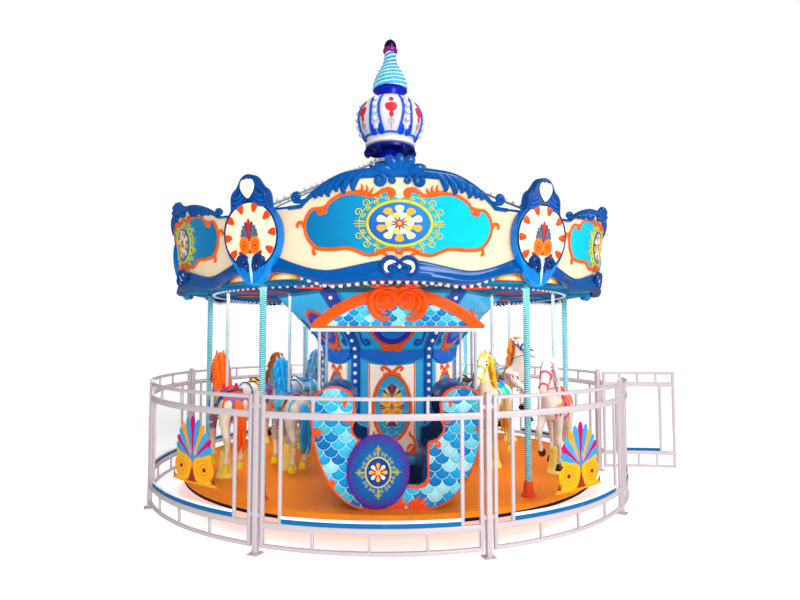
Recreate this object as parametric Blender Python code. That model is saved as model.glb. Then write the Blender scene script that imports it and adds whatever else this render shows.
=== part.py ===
# Fairground carousel: a turning platform with eight horses and two chariots under an oval-crested
# crown, on a centre stand, inside a ring fence with a double gate.
# Metres, +Z up. The origin is on the floor, on the turning axis.
# Azimuths are in degrees from -Y, the side that faces the visitor, towards +X.

import bpy
import bmesh
from math import acos, atan, cos, degrees, pi, radians, sin
from mathutils import Matrix, Vector

# Gaps
SEAT_GAP = 0.0003            # between faces that rest on each other

# Platform
REST_TURN = 1.8              # degrees the platform is turned at rest
DECK_TOP = 0.223
DECK_THICKNESS = 0.060
DECK_RADIUS = 2.060
RIM_WIDTH = 0.030
STAND_TOP = 0.120            # top of the fixed hub
BEARING_RADIUS = 0.42

# Column and ceiling
FACET_APOTHEM = 0.640        # middle of each of the six wide faces
FACET_HALF = 0.310
SHAFT_TOP = 1.380
CEILING_Z = 1.958            # underside of the ceiling
CEILING_THICKNESS = 0.012
CEILING_RADIUS = 2.095
FLARE_APOTHEM = 1.110        # of the column head where it meets the ceiling

# Crown
CROWN_BOTTOM_RADIUS = 2.112  # inner face of the boards at CROWN_LOW_Z
CROWN_LOW_Z = 1.940
CROWN_TOP_RADIUS = 2.195     # inner face of the boards at CROWN_HIGH_Z
CROWN_HIGH_Z = 2.700
BOARD_THICKNESS = 0.030
CARTOUCHE_THICKNESS = 0.060
CARTOUCHE_Z = 2.310
RING_HALF_WIDTH = 0.262
RING_HALF_HEIGHT = 0.262

# Poles
POLE_ORBIT = 1.940
POLE_AZIMUTHS = (-34.0, 34.0, 90.0, 146.0, -146.0, -90.0)
POLE_RADIUS = 0.028
HORSE_POLE_RADIUS = 0.016
HORSE_TRAVEL = 0.070         # each way from the middle of the stroke

# Fence
FENCE_RADIUS = 2.395         # middle of the posts and rails
FENCE_BAY = 40.0             # degrees from post to post
POST_SIZE = 0.040
POST_TOP = 1.140
RAIL_DEPTH = 0.026
POST_TO_PANEL = 0.020
GATE_BAY_START = 56.7        # azimuth of the post that the near leaf hangs on
GATE_OPEN = 88.0             # how far the far leaf stands open at rest


# Materials

def finish(name, colour, roughness, metallic=0.0):
    material = bpy.data.materials.new(name)
    material.use_nodes = True
    shader = material.node_tree.nodes["Principled BSDF"]
    shader.inputs["Base Color"].default_value = (*colour, 1.0)
    shader.inputs["Roughness"].default_value = roughness
    shader.inputs["Metallic"].default_value = metallic
    material.diffuse_color = (*colour, 1.0)
    return material


# Meshes

def mesh_from(bm, name="shape"):
    bmesh.ops.remove_doubles(bm, verts=bm.verts, dist=1e-6)
    bmesh.ops.recalc_face_normals(bm, faces=bm.faces)
    mesh = bpy.data.meshes.new(name)
    bm.to_mesh(mesh)
    bm.free()
    return mesh


def loft(rings):
    """A closed skin over rings that have the same number of points."""
    bm = bmesh.new()
    loops = [[bm.verts.new(point) for point in ring] for ring in rings]
    for lower, upper in zip(loops, loops[1:]):
        for i in range(len(lower)):
            j = (i + 1) % len(lower)
            bm.faces.new((lower[i], lower[j], upper[j], upper[i]))
    bm.faces.new(loops[0])
    bm.faces.new(loops[-1])
    return mesh_from(bm)


def circle(radius, z, count, lobe=0.0, lobes=1, turn=0.0):
    points = []
    for i in range(count):
        angle = 2 * pi * i / count + radians(turn)
        reach = radius * (1 + lobe * cos(lobes * angle))
        points.append(Vector((reach * sin(angle), -reach * cos(angle), z)))
    return points


def turned(profile, count, turn=0.0):
    """A solid of revolution about Z from (radius, z) pairs, listed from bottom to top."""
    return loft([circle(radius, z, count, turn=turn) for radius, z in profile])


def turned_ring(profile, count, turn=0.0):
    """A ring about Z from a closed (radius, z) outline."""
    bm = bmesh.new()
    loops = [[bm.verts.new(p) for p in circle(r, z, count, turn=turn)] for r, z in profile]
    for k, lower in enumerate(loops):
        upper = loops[(k + 1) % len(loops)]
        for i in range(count):
            j = (i + 1) % count
            bm.faces.new((lower[i], lower[j], upper[j], upper[i]))
    return mesh_from(bm)


def plate(outline, near, far):
    """An (x, z) outline made solid from y = near to y = far."""
    return loft([[Vector((x, y, z)) for x, z in outline] for y in (near, far)])


def box(low, high):
    (x0, y0, z0), (x1, y1, z1) = low, high
    return plate([(x0, z0), (x1, z0), (x1, z1), (x0, z1)], y0, y1)


def rod(start, end, radius, count=8, end_radius=None):
    """A round bar between two points."""
    start, end = Vector(start), Vector(end)
    turn = (end - start).to_track_quat("Z", "Y").to_matrix()
    rings = []
    for centre, size in ((start, radius), (end, end_radius or radius)):
        rings.append([centre + turn @ point for point in circle(size, 0.0, count)])
    return loft(rings)


def bar(start, end, width, height):
    """A square bar between two points, as wide as it says across and as high as it says in Z."""
    start, end = Vector(start), Vector(end)
    side = (end - start).cross(Vector((0, 0, 1))).normalized() * width / 2
    lift = side.cross(end - start).normalized() * height / 2
    rings = [[c + side + lift, c - side + lift, c - side - lift, c + side - lift] for c in (start, end)]
    return loft(rings)


def curved_bar(radius, depth, low, high, start, end, segments):
    """A bar that follows a circle about Z between two azimuths."""
    rings = []
    for i in range(segments + 1):
        azimuth = radians(start + (end - start) * i / segments)
        way = Vector((sin(azimuth), -cos(azimuth), 0))
        inner, outer = way * (radius - depth / 2), way * (radius + depth / 2)
        rings.append([inner + Vector((0, 0, low)), outer + Vector((0, 0, low)),
                      outer + Vector((0, 0, high)), inner + Vector((0, 0, high))])
    return loft(rings)


def moved(mesh, offset=(0, 0, 0), turn=0.0):
    mesh.transform(Matrix.Translation(offset) @ Matrix.Rotation(radians(turn), 4, "Z"))
    return mesh


def combined(shapes, operation="UNION"):
    """The first shape with each of the others joined to it or cut from it."""
    scene = bpy.context.scene.collection
    workpieces = [bpy.data.objects.new("workpiece", shape) for shape in shapes]
    for workpiece in workpieces:
        scene.objects.link(workpiece)
    target = workpieces[0]
    for other in workpieces[1:]:
        step = target.modifiers.new("step", "BOOLEAN")
        step.operation = operation
        step.solver = "EXACT"
        step.object = other
    evaluated = target.evaluated_get(bpy.context.evaluated_depsgraph_get())
    result = bpy.data.meshes.new_from_object(evaluated)
    for workpiece in workpieces:
        bpy.data.objects.remove(workpiece)
    bm = bmesh.new()
    bm.from_mesh(result)
    bmesh.ops.remove_doubles(bm, verts=bm.verts, dist=1e-5)
    bmesh.ops.triangulate(bm, faces=bm.faces)
    bm.to_mesh(result)
    bm.free()
    return result


def arc(centre, reach_x, reach_z, start, end, steps):
    """Points on an ellipse in (x, z), from one angle to the other in degrees."""
    points = []
    for i in range(steps + 1):
        angle = radians(start + (end - start) * i / steps)
        points.append((centre[0] + reach_x * cos(angle), centre[1] + reach_z * sin(angle)))
    return points


def top_of(outline, x):
    """The highest z of a closed (x, z) outline at x."""
    heights = []
    for (x0, z0), (x1, z1) in zip(outline, outline[1:] + outline[:1]):
        if min(x0, x1) <= x <= max(x0, x1) and x0 != x1:
            heights.append(z0 + (z1 - z0) * (x - x0) / (x1 - x0))
    return max(heights)


def mirrored(half):
    """A half outline that starts and ends on x = 0, with its mirror image."""
    return half + [(-x, z) for x, z in reversed(half) if abs(x) > 1e-6]


def node(name, mesh, material, parent=None, location=(0, 0, 0), turn=0.0, smooth=None):
    piece = bpy.data.objects.new(name, mesh)
    bpy.context.scene.collection.objects.link(piece)
    piece.parent = parent
    piece.location = location
    piece.rotation_euler.z = radians(turn)
    if not mesh.materials:
        mesh.materials.append(material)
    if smooth:
        mesh.shade_smooth()
        mesh.set_sharp_from_angle(angle=radians(smooth))
    return piece


def pivot(name, location=(0, 0, 0), turn=0.0, parent=None):
    empty = bpy.data.objects.new(name, None)
    bpy.context.scene.collection.objects.link(empty)
    empty.parent = parent
    empty.location = location
    empty.rotation_euler.z = radians(turn)
    return empty


def on_circle(radius, azimuth, z=0.0):
    return Vector((radius * sin(radians(azimuth)), -radius * cos(radians(azimuth)), z))


# Centre stand

def base_frame():
    """A hub on six radial beams that end in level pads."""
    beam_reach = 1.45
    beam_top = 0.090
    shapes = [turned([(0.36, 0.0), (0.36, 0.095), (0.30, 0.10), (0.30, STAND_TOP)], 24)]
    for i in range(6):
        azimuth = 60 * i + 30 + REST_TURN
        shapes.append(moved(box((-0.040, -beam_reach, 0.030), (0.040, -0.20, beam_top)), turn=azimuth))
        shapes.append(moved(box((-0.075, -beam_reach - 0.03, 0.0), (0.075, -beam_reach + 0.12, 0.040)),
                            turn=azimuth))
    return combined(shapes)


# Platform

PEDESTAL_HEIGHT = 0.245
BUSH_RADIUS = 0.0191         # corner radius of the six-sided bush that each horse pole slides in
OUTER_ORBIT = 1.760
INNER_ORBIT = 1.150
HORSE_PLACES = [(orbit, azimuth) for azimuth in (-62.0, -120.0, 120.0, 62.0)
                for orbit in (OUTER_ORBIT, INNER_ORBIT)]


def platform():
    """The deck on its bearing plate, with a hollow pedestal under each horse pole."""
    underside = DECK_TOP - DECK_THICKNESS
    shapes = [turned([(BEARING_RADIUS, STAND_TOP + SEAT_GAP), (BEARING_RADIUS, underside),
                      (DECK_RADIUS, underside), (DECK_RADIUS, DECK_TOP)], 36)]
    for orbit, azimuth in HORSE_PLACES:
        foot = turned([(0.088, DECK_TOP - 0.01), (0.088, DECK_TOP + 0.02), (0.062, DECK_TOP + 0.07),
                       (0.048, DECK_TOP + PEDESTAL_HEIGHT)], 10)
        shapes.append(moved(foot, on_circle(orbit, azimuth)))
    solid = combined(shapes)
    bores = [moved(turned([(BUSH_RADIUS, underside + 0.012), (BUSH_RADIUS, DECK_TOP + 0.4)], 6),
                   on_circle(orbit, azimuth)) for orbit, azimuth in HORSE_PLACES]
    return combined([solid] + bores, "DIFFERENCE")


def platform_rim():
    inner = DECK_RADIUS + SEAT_GAP
    outer = inner + RIM_WIDTH
    low, high = DECK_TOP - DECK_THICKNESS - 0.008, DECK_TOP + 0.006
    return turned_ring([(inner, low), (outer, low), (outer, high - 0.012), (outer - 0.012, high),
                        (inner, high)], 36)


# Column

def column_outline(spread):
    """Six wide faces and six narrow ones, scaled by the wide faces' distance from the axis."""
    points = []
    for i in range(6):
        for side in (-1, 1):
            corner = Vector((side * FACET_HALF, -FACET_APOTHEM, 0)) * spread / FACET_APOTHEM
            points.append(Matrix.Rotation(radians(60 * i), 3, "Z") @ corner)
    return points


def column():
    low = DECK_TOP + SEAT_GAP
    skirt = FACET_APOTHEM + 0.025
    levels = [(low, skirt), (low + 0.11, skirt), (low + 0.13, FACET_APOTHEM),
              (SHAFT_TOP, FACET_APOTHEM)]
    return loft([[p + Vector((0, 0, z)) for p in column_outline(spread)] for z, spread in levels])


def column_flare():
    """The head of the column, which spreads to the ceiling in a slightly hollow curve."""
    low, high = SHAFT_TOP + SEAT_GAP, CEILING_Z - SEAT_GAP
    steps = 5
    rings = []
    for i in range(steps + 1):
        share = i / steps
        spread = FACET_APOTHEM + (FLARE_APOTHEM - FACET_APOTHEM) * share ** 1.2
        rings.append([p + Vector((0, 0, low + (high - low) * share)) for p in column_outline(spread)])
    return loft(rings)


def ceiling():
    """A thin round panel with a hole for each horse pole."""
    panel = turned([(CEILING_RADIUS, CEILING_Z), (CEILING_RADIUS, CEILING_Z + CEILING_THICKNESS)], 36)
    holes = [moved(turned([(BUSH_RADIUS, CEILING_Z - 0.05), (BUSH_RADIUS, CEILING_Z + 0.05)], 6),
                   on_circle(orbit, azimuth)) for orbit, azimuth in HORSE_PLACES]
    return combined([panel] + holes, "DIFFERENCE")


def crown_radius(z):
    """Inner face of the crown boards at a height."""
    share = (z - CROWN_LOW_Z) / (CROWN_HIGH_Z - CROWN_LOW_Z)
    return CROWN_BOTTOM_RADIUS + share * (CROWN_TOP_RADIUS - CROWN_BOTTOM_RADIUS)


FRAME_LOW = CEILING_Z + CEILING_THICKNESS + SEAT_GAP
FRAME_HIGH = FRAME_LOW + 0.060
UPRIGHT_TOP = 2.520
FACET_ALLOWANCE = 0.0004     # the boards' inner faces are flat between their points


def roof_frame():
    """Six sweeps from a hub ring to the rim ring, with an upright at the end of each."""
    rim_outer = crown_radius(FRAME_LOW) - FACET_ALLOWANCE
    shapes = [turned_ring([(rim_outer - 0.06, FRAME_LOW), (rim_outer, FRAME_LOW),
                           (rim_outer, FRAME_HIGH), (rim_outer - 0.06, FRAME_HIGH)], 24),
              turned_ring([(0.66, FRAME_LOW), (0.78, FRAME_LOW), (0.78, FRAME_HIGH),
                           (0.66, FRAME_HIGH)], 12)]
    for i in range(6):
        azimuth = 60 * i + 30
        sweep = box((-0.025, -rim_outer + 0.02, FRAME_LOW + 0.004), (0.025, -0.70, FRAME_HIGH - 0.004))
        upright = box((-0.020, -rim_outer + 0.006, FRAME_LOW + 0.010),
                      (0.020, -rim_outer + 0.044, UPRIGHT_TOP))
        shapes += [moved(sweep, turn=azimuth), moved(upright, turn=azimuth)]
    return combined(shapes)


# Crown

def crest_height(share):
    """Top edge of a board, from 0 at its middle to 1 at its ends."""
    shoulder = 2.505 + 0.250 * cos(pi / 2 * min(share / 0.82, 1.0)) ** 1.2
    shell = 0.110 * max(0.0, 1 - (share / 0.14) ** 2)
    return shoulder + shell


def hem_height(share):
    """Bottom edge of a board: lowest at the middle, with a swag to each side."""
    return 1.945 + 0.055 * sin(pi * min(share, 1.0)) ** 2 - 0.020 * max(0.0, 1 - (share / 0.18) ** 2)


def crown_board():
    half_angle = 29.93
    columns = 16
    rings = []
    for i in range(columns + 1):
        share = 2 * i / columns - 1
        azimuth = half_angle * share
        low, high = hem_height(abs(share)), crest_height(abs(share))
        rings.append([on_circle(crown_radius(low), azimuth, low),
                      on_circle(crown_radius(low) + BOARD_THICKNESS, azimuth, low),
                      on_circle(crown_radius(high) + BOARD_THICKNESS, azimuth, high),
                      on_circle(crown_radius(high), azimuth, high)])
    return loft(rings)


def cartouche():
    """An oval ring board with a hood above it and a pointed scroll below."""
    hood = [(0.215, CARTOUCHE_Z + 0.16), (0.222, CARTOUCHE_Z + 0.24), (0.150, CARTOUCHE_Z + 0.385)]
    hood += arc((0.0, CARTOUCHE_Z + 0.385), 0.085, 0.070, 20, 90, 3)
    ring = arc((0.0, CARTOUCHE_Z), RING_HALF_WIDTH, RING_HALF_HEIGHT, -62, 34, 8)
    tip = [(0.0, 1.905), (0.055, 1.975)]
    outline = mirrored(tip + ring + hood)
    shape = plate(outline, 0.0, -CARTOUCHE_THICKNESS)
    lean = atan((CROWN_TOP_RADIUS - CROWN_BOTTOM_RADIUS) / (CROWN_HIGH_Z - CROWN_LOW_Z))
    back = crown_radius(CARTOUCHE_Z) + BOARD_THICKNESS + SEAT_GAP / cos(lean)
    pitch = Matrix.Translation((0, -back, CARTOUCHE_Z)) @ Matrix.Rotation(lean, 4, "X")
    shape.transform(pitch @ Matrix.Translation((0, 0, -CARTOUCHE_Z)))
    return shape


# Poles

def platform_pole():
    """A thick pole with a flared foot, from the deck to the ceiling."""
    low, high = DECK_TOP + SEAT_GAP, CEILING_Z - SEAT_GAP
    return turned([(0.062, low), (0.062, low + 0.012), (0.040, low + 0.05), (0.036, low + 0.12),
                   (POLE_RADIUS, low + 0.13), (POLE_RADIUS, high)], 8)


# Chariots

CHARIOT_NEAR = 1.940         # distance of the outer side's face from the axis
CHARIOT_FAR = 1.140
SIDE_THICKNESS = 0.040
CANOPY_LOW = 1.570
CANOPY_TOP = 1.893
CANOPY_HALF = 0.662
CHARIOT_POST_X = 0.600


def side_outline(shrink=0.0):
    """A boat-shaped side with a rolled lobe at each end and a way in at the middle."""
    low = DECK_TOP + SEAT_GAP + shrink
    hull = arc((0.215, 0.95), 0.442 - shrink, 0.95 - low, -90, 0, 6)
    lobe = arc((0.490, 0.985), 0.167 - shrink, 0.162 - shrink, 0, 180, 7)
    way_in = [(0.345, 0.80), (0.228, 0.70)] + arc((0.144, 0.48), 0.082, 0.080, 0, -90, 3)
    return mirrored([(0.0, low)] + hull + lobe + way_in + [(0.0, 0.40)])


def chariot_front():
    """The outer side board with the round boss that hangs on it."""
    board = plate(side_outline(), -CHARIOT_NEAR, -CHARIOT_NEAR + SIDE_THICKNESS)
    boss = plate(arc((-0.150, 0.513), 0.233, 0.272, 0, 340, 17), -CHARIOT_NEAR - 0.028,
                 -CHARIOT_NEAR + 0.012)
    return combined([board, boss])


def chariot_tub():
    """Two seats that face each other, joined to the inner side board."""
    low = DECK_TOP + SEAT_GAP + 0.004
    hull = arc((0.215, 0.95), 0.434, 0.95 - low, -90, 0, 6)
    lobe = arc((0.490, 0.985), 0.159, 0.154, 0, 165, 6)
    seat = [(0.405, 0.93), (0.455, 0.625), (0.205, 0.605), (0.185, 0.270)]
    outline = mirrored([(0.0, low)] + hull + lobe + seat + [(0.0, 0.270)])
    seats = plate(outline, -CHARIOT_NEAR + SIDE_THICKNESS + SEAT_GAP, -CHARIOT_FAR - 0.02)
    board = plate(side_outline(), -CHARIOT_FAR - SIDE_THICKNESS, -CHARIOT_FAR)
    return combined([board, seats])


def chariot_canopy():
    """An arched roof with a board at each end, on four posts."""
    rise = CANOPY_TOP - CANOPY_LOW - 0.04
    radius = (CANOPY_HALF ** 2 + rise ** 2) / (2 * rise)
    reach = degrees(acos((radius - rise) / radius))
    centre = (0.0, CANOPY_TOP - radius)
    arch = arc(centre, radius, radius, 90 - reach, 90 + reach, 10)
    roof = arch + arc(centre, radius - 0.022, radius - 0.022, 90 + reach - 1, 90 - reach + 1, 10)
    gable = [(-CANOPY_HALF, CANOPY_LOW), (CANOPY_HALF, CANOPY_LOW)] + arch
    near, far = -CHARIOT_NEAR, -CHARIOT_FAR
    shapes = [plate(roof, near + 0.01, far - 0.01), plate(gable, near, near + SIDE_THICKNESS),
              plate(gable, far - SIDE_THICKNESS, far)]
    shoulder = top_of(side_outline(), CHARIOT_POST_X - 0.013)
    for y in (near + SIDE_THICKNESS / 2, far - SIDE_THICKNESS / 2):
        for x in (-CHARIOT_POST_X, CHARIOT_POST_X):
            shapes.append(box((x - 0.013, y - 0.013, shoulder + SEAT_GAP),
                              (x + 0.013, y + 0.013, CANOPY_LOW + 0.02)))
    return combined(shapes)


# Spire

MAST_LOW = FRAME_HIGH + SEAT_GAP
RING_Z = 3.640               # underside of the white ring
ONION_Z = 3.740
NECK_Z = 4.200
TIP_Z = 4.857


def mast_legs():
    """Six tapered legs that lean in to a neck under the onion."""
    shapes = [turned([(0.17, 3.36), (0.20, 3.50), (0.245, RING_Z - SEAT_GAP)], 12),
              turned_ring([(0.67, MAST_LOW), (0.77, MAST_LOW), (0.77, MAST_LOW + 0.03),
                           (0.67, MAST_LOW + 0.03)], 24)]
    for i in range(6):
        foot, head = on_circle(0.72, 60 * i + 30, MAST_LOW + 0.012), on_circle(0.13, 60 * i + 30, 3.44)
        shapes.append(bar(foot, head, 0.055, 0.045))
    return combined(shapes)


def spire_onion():
    """The white ring, the six-lobed onion and the blue neck on it."""
    levels = [(0.275, RING_Z), (0.285, RING_Z + 0.03), (0.275, ONION_Z - 0.04), (0.245, ONION_Z),
              (0.290, ONION_Z + 0.07), (0.335, 3.92), (0.335, 4.02), (0.290, 4.10), (0.215, 4.16),
              (0.130, NECK_Z), (0.130, 4.275), (0.165, 4.285), (0.165, 4.300)]
    rings = []
    for radius, z in levels:
        lobe = 0.045 if ONION_Z < z < NECK_Z else 0.0
        rings.append(circle(radius, z, 18, lobe, 6))
    return loft(rings)


def spire_cone():
    """A twisted, ribbed cone with a collar and a cap."""
    low = 4.300 + SEAT_GAP
    rings = []
    steps = 6
    for i in range(steps + 1):
        share = i / steps
        radius = 0.150 - 0.098 * share
        rings.append(circle(radius, low + share * (4.690 - low), 15, 0.06, 5, turn=150 * share))
    rings += [circle(0.060, 4.700, 15), circle(0.060, 4.740, 15), circle(0.045, 4.750, 15),
              circle(0.050, 4.800, 15), circle(0.030, 4.845, 15), circle(0.008, TIP_Z, 15)]
    return loft(rings)


def stays():
    """A collar round the mast's neck and six rods down to the uprights."""
    collar_low, collar_high = 3.40, 3.44
    hole = 0.205
    shapes = [turned_ring([(hole, collar_low), (hole + 0.03, collar_low), (hole + 0.03, collar_high),
                           (hole, collar_high)], 12)]
    foot_orbit = crown_radius(FRAME_LOW) - 0.025
    for i in range(6):
        azimuth = 60 * i + 30
        shapes.append(rod(on_circle(hole + 0.015, azimuth, 3.42),
                          on_circle(foot_orbit, azimuth, UPRIGHT_TOP + 0.02), 0.011, 6))
        shapes.append(moved(box((-0.018, -0.018, UPRIGHT_TOP + SEAT_GAP), (0.018, 0.018, UPRIGHT_TOP + 0.035)),
                            on_circle(foot_orbit, azimuth), azimuth))
    return combined(shapes)


# Fence

# Heights of the rails: (low, high)
TOP_RAIL = (1.088, 1.114)
MID_RAIL = (0.953, 1.000)
LOW_RAIL = (0.191, 0.290)
GROUND_RAIL = (0.052, 0.078)
UPRIGHT_WIDTH = 0.028
PANE_FROM_END = 0.155        # middle of the pane's uprights from the panel's end


def panel_angle(length):
    return degrees(length / FENCE_RADIUS)


def panel_shapes(start, end, segments):
    """Four rails between end uprights, and a clear pane between two inner ones."""
    def upright(azimuth, low, high, depth):
        half = UPRIGHT_WIDTH / 2
        shape = box((-half, -FENCE_RADIUS - depth / 2, low), (half, -FENCE_RADIUS + depth / 2, high))
        return moved(shape, turn=azimuth)

    shapes = []
    inset = panel_angle(UPRIGHT_WIDTH / 2)
    for azimuth in (start + inset, end - inset):
        shapes.append(upright(azimuth, GROUND_RAIL[0] - 0.003, TOP_RAIL[1] + 0.003, RAIL_DEPTH + 0.004))
    for low, high in (TOP_RAIL, MID_RAIL, LOW_RAIL, GROUND_RAIL):
        shapes.append(curved_bar(FENCE_RADIUS, RAIL_DEPTH, low, high, start + inset, end - inset, segments))
    pane_inset = panel_angle(PANE_FROM_END)
    for azimuth in (start + pane_inset, end - pane_inset):
        shapes.append(upright(azimuth, LOW_RAIL[1] - 0.02, MID_RAIL[0] + 0.02, RAIL_DEPTH - 0.006))
    shapes.append(curved_bar(FENCE_RADIUS, 0.006, LOW_RAIL[1] - 0.01, MID_RAIL[0] + 0.01,
                             start + pane_inset, end - pane_inset, segments))
    return shapes


HINGE_ORBIT = FENCE_RADIUS + POST_SIZE / 2
HINGE_HEIGHTS = (0.20, 0.96)  # of the lower face of each knuckle


def post_shapes(lug_side=0):
    """A post on its foot plate; lug_side is -1 or 1 where a gate leaf hangs on it."""
    half = POST_SIZE / 2
    shapes = [box((-half, -FENCE_RADIUS - half, 0.002), (half, -FENCE_RADIUS + half, POST_TOP)),
              box((-0.045, -FENCE_RADIUS - 0.045, 0.0), (0.045, -FENCE_RADIUS + 0.045, 0.008))]
    if lug_side:
        ends = sorted((lug_side * (half - 0.005), lug_side * (half + POST_TO_PANEL / 2 + 0.005)))
        for z in HINGE_HEIGHTS:
            shapes.append(box((ends[0], -HINGE_ORBIT - 0.0065, z - SEAT_GAP - 0.008),
                              (ends[1], -HINGE_ORBIT + 0.0065, z - SEAT_GAP)))
    return shapes


def fence_bay(lug_side=0):
    """A post at azimuth 0 with the panel that follows it, on brackets at both ends."""
    clear = panel_angle(POST_SIZE / 2 + POST_TO_PANEL)
    shapes = post_shapes(lug_side) + panel_shapes(clear, FENCE_BAY - clear, 5)
    to_next_post = FENCE_BAY - panel_angle(POST_SIZE / 2 + SEAT_GAP)
    for z in (0.26, 1.02):
        shapes.append(curved_bar(FENCE_RADIUS, 0.012, z, z + 0.03, 0.1, clear + 0.3, 1))
        shapes.append(curved_bar(FENCE_RADIUS, 0.012, z, z + 0.03, FENCE_BAY - clear - 0.3, to_next_post, 1))
    return combined(shapes)


LEAF_GAP = 0.016             # between the two leaves where they meet


def gate_leaf():
    """A leaf from its hinge at azimuth 0 to the middle of the gateway, in the frame's own place."""
    start = panel_angle(POST_TO_PANEL / 2)
    end = FENCE_BAY / 2 - panel_angle(POST_SIZE / 2 + POST_TO_PANEL / 2) - panel_angle(LEAF_GAP / 2)
    shapes = panel_shapes(start, end, 3)
    for z in HINGE_HEIGHTS:
        knuckle = turned([(0.006, z), (0.006, z + 0.06)], 8)
        shapes.append(moved(knuckle, on_circle(HINGE_ORBIT, 0.0)))
        shapes.append(bar((0.002, -HINGE_ORBIT + 0.002, z + 0.03), (0.026, -FENCE_RADIUS, z + 0.03),
                          0.006, 0.04))
    return combined(shapes)


# Horses

def limb(points):
    """A round limb through (x, y, z, radius) points in the horse's own frame."""
    rings = []
    for i, (x, y, z, radius) in enumerate(points):
        before, after = points[max(i - 1, 0)], points[min(i + 1, len(points) - 1)]
        way = Vector((after[0] - before[0], after[1] - before[1], after[2] - before[2]))
        turn = way.to_track_quat("Z", "Y").to_matrix()
        rings.append([Vector((x, y, z)) + turn @ p for p in circle(radius, 0.0, 5, turn=20)])
    return loft(rings)


def barrel(stations, sides=8):
    """An oval body through (x, z, half width, half height) stations."""
    rings = []
    for i, (x, z, wide, high) in enumerate(stations):
        before, after = stations[max(i - 1, 0)], stations[min(i + 1, len(stations) - 1)]
        way = Vector((after[0] - before[0], 0, after[1] - before[1])).normalized()
        up = Vector((-way.z, 0, way.x))
        ring = []
        for k in range(sides):
            angle = 2 * pi * (k + 0.5) / sides
            ring.append(Vector((x, 0, z)) + up * high * sin(angle) + Vector((0, wide * cos(angle), 0)))
        rings.append(ring)
    return loft(rings)


BODY = [(-0.360, 0.775, 0.050, 0.070), (-0.300, 0.785, 0.105, 0.120), (-0.150, 0.780, 0.116, 0.128),
        (0.050, 0.770, 0.112, 0.125), (0.165, 0.795, 0.110, 0.138), (0.240, 0.880, 0.086, 0.120),
        (0.300, 1.040, 0.055, 0.080), (0.330, 1.165, 0.044, 0.050)]
HEAD = [(0.270, 1.165, 0.040, 0.045), (0.345, 1.165, 0.054, 0.068), (0.460, 1.050, 0.037, 0.045),
        (0.530, 0.965, 0.028, 0.028)]
FORELEG_DOWN = [(0.155, 0.072, 0.780, 0.062), (0.185, 0.074, 0.600, 0.042), (0.190, 0.074, 0.480, 0.030),
                (0.165, 0.074, 0.330, 0.025), (0.205, 0.074, 0.240, 0.044)]
FORELEG_RAISED = [(0.160, -0.072, 0.780, 0.062), (0.265, -0.074, 0.640, 0.042),
                  (0.345, -0.074, 0.600, 0.032), (0.325, -0.074, 0.470, 0.025),
                  (0.262, -0.074, 0.400, 0.042)]
HINDLEG_BACK = [(-0.250, 0.076, 0.740, 0.088), (-0.265, 0.078, 0.590, 0.052),
                (-0.365, 0.078, 0.480, 0.034), (-0.330, 0.078, 0.330, 0.026),
                (-0.310, 0.078, 0.240, 0.042)]
HINDLEG_FORWARD = [(-0.240, -0.076, 0.740, 0.088), (-0.200, -0.078, 0.590, 0.052),
                   (-0.270, -0.078, 0.470, 0.034), (-0.215, -0.078, 0.330, 0.026),
                   (-0.175, -0.078, 0.240, 0.042)]
TAIL = [(-0.340, 0.0, 0.830, 0.028), (-0.425, 0.0, 0.770, 0.042), (-0.445, 0.0, 0.600, 0.044),
        (-0.415, 0.0, 0.420, 0.016)]
MANE = [(0.150, 0.905, 0.022, 0.034), (0.205, 1.020, 0.026, 0.050), (0.250, 1.140, 0.026, 0.050),
        (0.320, 1.235, 0.016, 0.024)]
HOOF_CLEARANCE = HORSE_TRAVEL + 0.012    # added so that the lowest hoof clears the deck
HORSE_POLE_LOW = 0.320
HORSE_POLE_HIGH = 2.150


def horse(lift, rear_up):
    """A prancing horse on its pole; its middle stroke is where lift is 0."""
    shapes = [barrel(BODY), barrel(HEAD, 6), barrel(MANE, 4), limb(TAIL)]
    shapes += [limb(leg) for leg in (FORELEG_DOWN, FORELEG_RAISED, HINDLEG_BACK, HINDLEG_FORWARD)]
    if rear_up:
        haunch = Vector((-0.20, 0, 0.50))
        tilt = Matrix.Translation(haunch + Vector((0.02, 0, 0.03))) @ Matrix.Rotation(radians(-rear_up), 4, "Y")
        for shape in shapes:
            shape.transform(tilt @ Matrix.Translation(-haunch))
    for shape in shapes:
        shape.transform(Matrix.Translation((0, 0, HOOF_CLEARANCE)))
    shapes.append(rod((0, 0, HORSE_POLE_LOW), (0, 0, HORSE_POLE_HIGH), HORSE_POLE_RADIUS, 8))
    for shape in shapes:
        shape.transform(Matrix.Translation((0, 0, lift)))
    return combined(shapes)


# Each horse: how far it stands from the middle of its stroke, how far it rears, coat
HORSES = [(0.03, 0, (0.80, 0.74, 0.66)), (-0.04, 0, (0.50, 0.55, 0.58)),
          (-0.02, 0, (0.82, 0.76, 0.66)), (0.02, 0, (0.55, 0.60, 0.66)),
          (0.05, 14, (0.86, 0.82, 0.74)), (0.00, 0, (0.45, 0.45, 0.47)),
          (-0.01, 0, (0.92, 0.90, 0.86)), (0.03, 0, (0.93, 0.90, 0.80))]


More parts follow.
